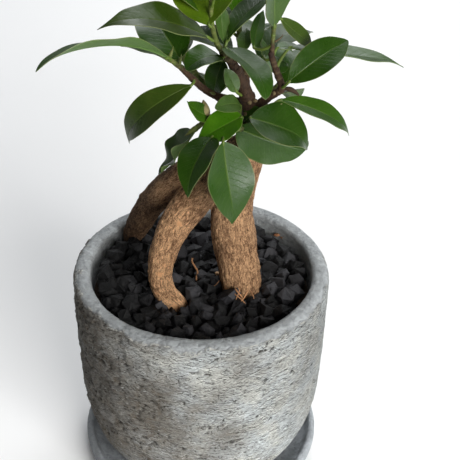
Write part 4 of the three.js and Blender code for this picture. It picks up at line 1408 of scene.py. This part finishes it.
def crack(points, route):
    """Depth, 0 to 1, of a thin crack along a route over the surface."""
    path, _, shares = Curve(route).even(0.3)
    depth = np.zeros(len(points))
    for place, share in zip(path, shares):
        width = 0.85 * math.sin(math.pi * (0.12 + 0.8 * share)) + 0.25
        gap = points - place
        gap[:, 1] *= 0.35
        depth = np.maximum(depth, eased(width - np.linalg.norm(gap, axis=1), -0.5, 0.45))
    return depth


# ---------------------------------------------------------------- shoots

# Rows of points along a blade, and the columns' places from the midrib to the margin.
BLADE_ROWS = 34
HALF_COLUMNS = np.array([0.045, 0.12, 0.24, 0.38, 0.53, 0.68, 0.82, 0.93, 1.0])
BLADE_COLUMNS = np.concatenate([-HALF_COLUMNS[::-1], [0.0], HALF_COLUMNS])
STALK_TINT = (2.5, 1.25, 1.7)
# Colour of a twig's young end.
TWIG_GREEN = (0.066, 0.088, 0.018)
# A blade's faces that meet at more than this angle, in degrees, have a sharp edge between them.
BLADE_EDGE = 50


def leaf_directions(leaf):
    """The leaf's way along, its upper side's direction and its way across."""
    heading, rise = math.radians(leaf.heading), math.radians(leaf.rise)
    along = Vector((math.cos(rise) * math.cos(heading), math.cos(rise) * math.sin(heading), math.sin(rise)))
    up = (Vector((0, 0, 1)) - along * along.z).normalized()
    up.rotate(Matrix.Rotation(math.radians(leaf.roll), 3, along))
    return along, up, along.cross(up)


def leaf_half_width(share, leaf):
    """A blade's half width, as a share of its greatest, with its tip drawn out to a point."""
    plain = np.sin(math.pi * np.clip(share, 0, 1) ** leaf.belly).clip(0) ** leaf.full
    return plain * (1 - leaf.tip * eased(share, 0.80, 0.97))


def add_leaf(shape, stem, leaf, thickness, draw):
    """One leaf: its stalk from the twig, and its blade folded, arched and gently waved."""
    along, up, side = (np.array(v[:]) for v in leaf_directions(leaf))
    base = np.array(leaf.base, float)
    tint = np.array(TONES[leaf.tone]) * draw.uniform(0.92, 1.08)
    shares = eased(np.linspace(0, 1, BLADE_ROWS), -0.35, 1.12)
    shares = (shares - shares[0]) / (shares[-1] - shares[0])
    stalk = 0.75
    half = np.maximum((leaf.width / 2) * leaf_half_width(shares, leaf), 0.10 + stalk * (1 - shares) ** 3)
    droop = leaf.curl * shares**3 + leaf.hook * shares**8
    lift = leaf.length * (leaf.arch * 4 * shares * (1 - shares) - droop)
    middle = base + np.outer(shares * leaf.length, along) + np.outer(lift, up)
    middle += np.outer(leaf.sweep * leaf.length * shares**2, side)
    columns, off = BLADE_COLUMNS, np.abs(BLADE_COLUMNS)
    # Each half stands up from the midrib and levels off towards the margin.
    wing = (1 - (1 - off) ** 1.5) * 0.35 + off**1.5 * 0.65
    rise = np.outer(np.maximum(half - stalk, 0), wing) * math.tan(math.radians(leaf.fold))
    # The margins wave, partly apart and partly together, and there are slight bulges between the side veins.
    phase, beats = draw.uniform(0, 6.3), draw.uniform(1.2, 2.1)
    apart = np.outer(np.sin(beats * 2 * math.pi * shares + phase), off**2 * np.sign(columns))
    together = np.outer(np.sin((beats + 0.7) * 2 * math.pi * shares + phase * 2), off**2)
    share_wide = (half / half.max())[:, None]
    rise = rise + (apart * 0.6 + together * 0.5) * leaf.wave * leaf.width * share_wide
    veins = np.cos(2 * math.pi * (shares[:, None] * VEIN_BEATS - off * VEIN_SLANT))
    rise = rise + veins * 0.02 * np.sin(math.pi * off) * share_wide
    flat = middle[:, None] + side * np.outer(half, columns)[..., None] + up * rise[..., None]
    thick = np.outer(1 - 0.35 * shares, thickness * (0.62 - 0.25 * off))
    rib = np.outer((1 - shares) ** 0.7, np.exp(-((columns / 0.05) ** 2)))
    over = flat + up * (thick - 0.10 * rib)[..., None]
    under = flat - up * (thick + 0.55 * rib)[..., None]
    loop = np.concatenate([over, under[:, ::-1]], axis=1)
    rows, around = loop.shape[:2]
    faces = grid_faces(rows, around, wrap_columns=True)
    faces.append(tuple(range(around))[::-1])
    faces.append(tuple((rows - 1) * around + k for k in range(around)))
    at = np.empty((rows, around, 3))
    at[..., 0] = shares[:, None]
    at[..., 1] = np.concatenate([columns, columns[::-1]])
    at[..., 2] = np.repeat([0.0, 1.0], len(columns))
    shape.add(loop, faces, leaf_at=at.reshape(-1, 3), leaf_tint=tint)

    start = stem.at(leaf.at)
    bend = start.lerp(Vector(leaf.base), 0.5) - Vector(along) - Vector(up) * 0.8
    path, _, run = Curve([start, bend, base, base + along * 1.6 - up * 0.25]).even(0.7)
    radii = 0.88 - 0.20 * eased(run, 0, 0.6) + 0.25 * (1 - eased(run, 0, 0.12))
    radii = radii * (1 - 0.35 * eased(run, 0.72, 1.0))
    shape.tube(path, radii, STALK_SIDES, leaf_at=(0.02, 0.0, 0.35), leaf_tint=STALK_TINT)


def add_twig(shape, shoot, draw):
    """The twig's bark, swollen at each leaf, with ring scars and its closed tip."""
    path, radii, shares = Curve(shoot.stem).even(TWIG_STEP)
    swell, scar = np.zeros(len(path)), np.zeros(len(path))
    run = np.arange(len(path)) * TWIG_STEP
    for leaf in shoot.leaves:
        place = np.interp(leaf.at, shares, run)
        swell += 0.16 * np.exp(-(((run - place + 0.4) / 1.1) ** 2))
        scar = np.maximum(scar, np.exp(-(((run - place + 1.7) / 0.35) ** 2)))
    radii = radii * (1 + np.minimum(swell, 0.3)) + 0.05 * np.sin(run * 2.1) * (radii > 2)
    fresh = eased(shares, shoot.green_from - 0.18, shoot.green_from + 0.22)
    shake = np.array([spans(draw, *[(-0.05, 0.05)] * 3) for _ in path])
    path = path + shake * np.minimum(radii, 2)[:, None]
    wear = np.column_stack([fresh, scar * 0.35, shoot.dark * (1 - fresh)])
    shape.tube(path, radii, TWIG_SIDES, twig_wear=wear)
    way = Vector(unit(path[-1] - path[-6]))
    add_bud(shape, Vector(path[-1]), way, radii[-1], shoot.bud_length, fresh[-1])


def add_bud(shape, foot, way, radius, length, fresh):
    """A slim closed bud that ends in a point."""
    shares = np.linspace(0, 1, 14)
    path = np.array([(foot + way * (length * s - 0.8))[:] for s in shares])
    radii = radius * (1 + 0.28 * np.sin(math.pi * shares**0.7)) * (1 - shares**1.6) ** 0.8 + 0.06
    colour = np.column_stack([0 * shares + max(fresh, 0.75), 0.25 * shares, 0 * shares])
    shape.tube(path, radii, BUD_SIDES, twig_wear=colour)


# Side growths on single shoots: (kind, start, end, radius at the start).
SPURS = {
    "right_shoot": [
        ("spur", (32.4, 3.4, 239.0), (36.0, 3.0, 243.0), 0.5),
        ("node", (31.2, 2.2, 232.2), (30.4, 0.8, 235.2), 1.5),
        ("knob", (33.2, -1.6, 216.6), (32.4, -3.2, 216.2), 1.2),
        ("husk", (36.8, -1.8, 218.4), (44.2, -3.0, 215.6), 1.15),
    ],
    "main_shoot": [
        ("knob", (21.6, -1.6, 211.4), (22.0, -3.4, 212.0), 1.3),
        ("knob", (24.0, -0.8, 211.8), (25.2, -1.8, 212.4), 1.1),
        ("knob", (20.2, -0.8, 205.4), (19.8, -3.0, 206.0), 1.3),
        ("knob", (16.4, -0.8, 226.6), (15.6, -1.8, 227.8), 0.8),
    ],
    "left_shoot": [
        ("spike", (-14.6, -4.8, 234.2), (-12.4, -5.6, 240.6), 0.8),
        ("spike", (5.8, 2.2, 213.6), (3.4, -1.6, 216.4), 0.7),
        ("spike", (-10.0, -2.8, 230.4), (-9.0, -3.2, 236.0), 0.7),
    ],
    "low_left_shoot": [
        ("bract", (2.6, -3.4, 204.4), (0.6, -2.6, 213.0), 2.1),
    ],
}


def add_spur(shape, kind, start, end, radius):
    """A small growth on a twig: a spur, a dark node, a leaf scar's knob, a spike, a dry husk or a bract."""
    shares = np.linspace(0, 1, 12)
    path = np.array([Vector(start).lerp(Vector(end), share)[:] for share in shares])
    if kind == "spur":
        path[:, 0] += 0.7 * np.sin(math.pi * shares)
        radii, wear = radius * (1 - 0.8 * shares), (0.15, 0.3, 0.2)
    elif kind in ("knob", "node"):
        radii = radius * (1 - shares**2.2) ** 0.5 * (0.8 + 0.2 * shares) + 0.05
        wear = (0.0, 0.45, 0.0) if kind == "knob" else (0.0, 0.0, 1.0)
    elif kind == "spike":
        radii = radius * (0.75 + 0.35 * np.sin(math.pi * shares**0.6)) * (1 - shares**2) + 0.06
        wear = (1.0, 0.15, 0.0)
    elif kind == "husk":
        path[:, 2] += 1.3 * np.sin(math.pi * shares)
        radii, wear = radius * np.sin(math.pi * (0.1 + 0.87 * shares)) ** 0.7, (0.0, 0.12, 0.70)
    else:
        path[:, 1] -= 1.2 * np.sin(math.pi * shares)
        radii, wear = radius * np.sin(math.pi * (0.06 + 0.92 * shares)) ** 0.8, (0.6, 1.0, 0.0)
    shape.tube(path, radii, BUD_SIDES, twig_wear=wear)


class FICUS_OT_grow_shoots(bpy.types.Operator):
    """Grows every leafy shoot: its twig with buds and scars, and its stalked leaves"""

    bl_idname = "ficus.grow_shoots"
    bl_label = "Leafy shoots"

    def execute(self, context):
        plant = context.scene.ficus_plant
        blade = leaf_finish(plant.leaf, plant.young)
        bark = twig_finish(plant.twig, TWIG_GREEN)
        for number, (name, shoot) in enumerate(SHOOTS.items()):
            draw = random.Random(100 + number)
            leaves, twig = Shape(), Shape()
            stem = Curve(shoot.stem)
            for leaf in shoot.leaves:
                add_leaf(leaves, stem, leaf, plant.leaf_thickness / MM, draw)
            add_twig(twig, shoot, draw)
            for spur in SPURS.get(name, []):
                add_spur(twig, *spur)
            green, brown = leaves.object(f"{name}_leaves"), twig.object(f"{name}_twig")
            green.data.set_sharp_from_angle(angle=math.radians(BLADE_EDGE))
            finish_piece(green, blade, "leaf", name)
            finish_piece(brown, bark, "bark", name)
        return {"FINISHED"}


# ---------------------------------------------------------------- stage


def area_light(name, place, target, size, power, colour):
    """A soft square light that shines at a point."""
    lamp = bpy.data.lights.new(name, "AREA")
    lamp.shape, lamp.size, lamp.energy, lamp.color = "SQUARE", size, power, colour
    made = add_object(name, lamp)
    made.location = place
    made.rotation_euler = (Vector(target) - Vector(place)).to_track_quat("-Z", "Y").to_euler()


class FICUS_OT_set_stage(bpy.types.Operator):
    """Lays the pale floor, hangs the soft lights and sets the camera at the photograph's angle"""

    bl_idname = "ficus.set_stage"
    bl_label = "Floor, lights and camera"

    def execute(self, context):
        scene, stage = context.scene, context.scene.ficus_stage
        mesh = bpy.data.meshes.new("floor")
        s, z = FLOOR_HALF, FLOOR_LEVEL
        mesh.from_pydata([(-s, -s, z), (s, -s, z), (s, s, z), (-s, s, z)], [], [(0, 1, 2, 3)])
        floor = add_object("floor", mesh)
        paint = Finish("pale_floor", Roughness=0.7, Specular_IOR_Level=0.2)
        faint = paint.noise(paint.place((1, 1, 1)), 0.4, 3, 0.5)
        paint.set(Base_Color=paint.ramp(faint, (0.3, stage.floor, 0.97), (0.7, stage.floor, 1.0)))
        mesh.materials.append(paint.material)

        # The room is dim on the viewer's side and bright behind the plant.
        scene.world = scene.world or bpy.data.worlds.new("surround")
        scene.world.use_nodes = True
        tree = scene.world.node_tree
        way = add_node(tree, "ShaderNodeTexCoord").outputs["Generated"]
        depth = add_node(tree, "ShaderNodeSeparateXYZ", {0: way}).outputs["Y"]
        fade = add_node(tree, "ShaderNodeMapRange", {
            "Value": depth, "From Min": -0.7, "From Max": 0.8,
            "To Min": stage.surround * 0.25, "To Max": stage.surround,
        }, interpolation_type="SMOOTHSTEP")
        back = next(node for node in tree.nodes if node.type == "BACKGROUND")
        feed(tree, back.inputs["Strength"], fade.outputs[0])
        feed(tree, back.inputs["Color"], (0.97, 0.985, 1.0))
        centre = (0.0, 0.0, 0.14)
        area_light("window", (0.28, 1.15, 1.30), centre, 1.3, stage.window, (0.96, 0.98, 1.0))
        area_light("glow", (1.0, -0.98, 0.36), centre, 0.38, stage.key * 0.28, (0.97, 0.99, 1.0))
        area_light("key", (0.66, -1.20, 0.66), centre, 0.8, stage.key, (1.0, 0.985, 0.96))

        camera = bpy.data.cameras.new("camera")
        camera.sensor_width = 36.0
        camera.lens = FOCAL_LENGTH * camera.sensor_width / PHOTO_WIDTH
        camera.clip_start = 0.01
        pitch, yaw, tilt = (math.radians(angle) for angle in (PITCH, YAW, TILT))
        ahead = Vector((math.sin(yaw) * math.cos(pitch), math.cos(yaw) * math.cos(pitch), -math.sin(pitch)))
        level = ahead.cross(Vector((0, 0, 1))).normalized()
        right = level * math.cos(tilt) + level.cross(ahead) * math.sin(tilt)
        turn = Matrix((right, right.cross(ahead), -ahead)).transposed()
        scene.camera = add_object("camera", camera)
        scene.camera.matrix_world = Matrix.Translation(EYE) @ turn.to_4x4()
        scene.view_settings.view_transform = "Standard"
        return {"FINISHED"}


class FICUS_PT_panel(bpy.types.Panel):
    """Lists the pieces and their settings"""

    bl_label = "Potted ficus"
    bl_idname = "FICUS_PT_panel"
    bl_space_type = "VIEW_3D"
    bl_region_type = "UI"
    bl_category = "Ficus"

    def draw(self, context):
        for holder, operators in PANEL_ROWS:
            box = self.layout.box()
            settings = getattr(context.scene, holder)
            for name in settings.__annotations__:
                box.prop(settings, name)
            for operator in operators:
                box.operator(operator.bl_idname)


PANEL_ROWS = (
    ("ficus_pot", (FICUS_OT_turn_saucer, FICUS_OT_turn_pot)),
    ("ficus_chips", (FICUS_OT_dress_soil, FICUS_OT_scatter_chips, FICUS_OT_lay_litter)),
    ("ficus_plant", (FICUS_OT_grow_roots, FICUS_OT_grow_shoots)),
    ("ficus_stage", (FICUS_OT_set_stage,)),
)

SETTINGS = {
    "ficus_pot": FicusPotSettings,
    "ficus_plant": FicusPlantSettings,
    "ficus_chips": FicusChipSettings,
    "ficus_stage": FicusStageSettings,
}

CLASSES = (
    *SETTINGS.values(),
    *(operator for _, operators in PANEL_ROWS for operator in operators),
    FICUS_PT_panel,
)


def register():
    """Adds the classes, and the settings to the scene."""
    for kind in CLASSES:
        bpy.utils.register_class(kind)
    for name, kind in SETTINGS.items():
        setattr(bpy.types.Scene, name, bpy.props.PointerProperty(type=kind))


def unregister():
    """Takes the settings and the classes away again."""
    for name in SETTINGS:
        delattr(bpy.types.Scene, name)
    for kind in reversed(CLASSES):
        bpy.utils.unregister_class(kind)


def main():
    """Builds every piece and the stage."""
    register()
    bpy.ops.ficus.turn_saucer()
    bpy.ops.ficus.turn_pot()
    bpy.ops.ficus.dress_soil()
    bpy.ops.ficus.scatter_chips()
    bpy.ops.ficus.lay_litter()
    bpy.ops.ficus.grow_roots()
    bpy.ops.ficus.grow_shoots()
    bpy.ops.ficus.set_stage()


if __name__ == "__main__":
    main()
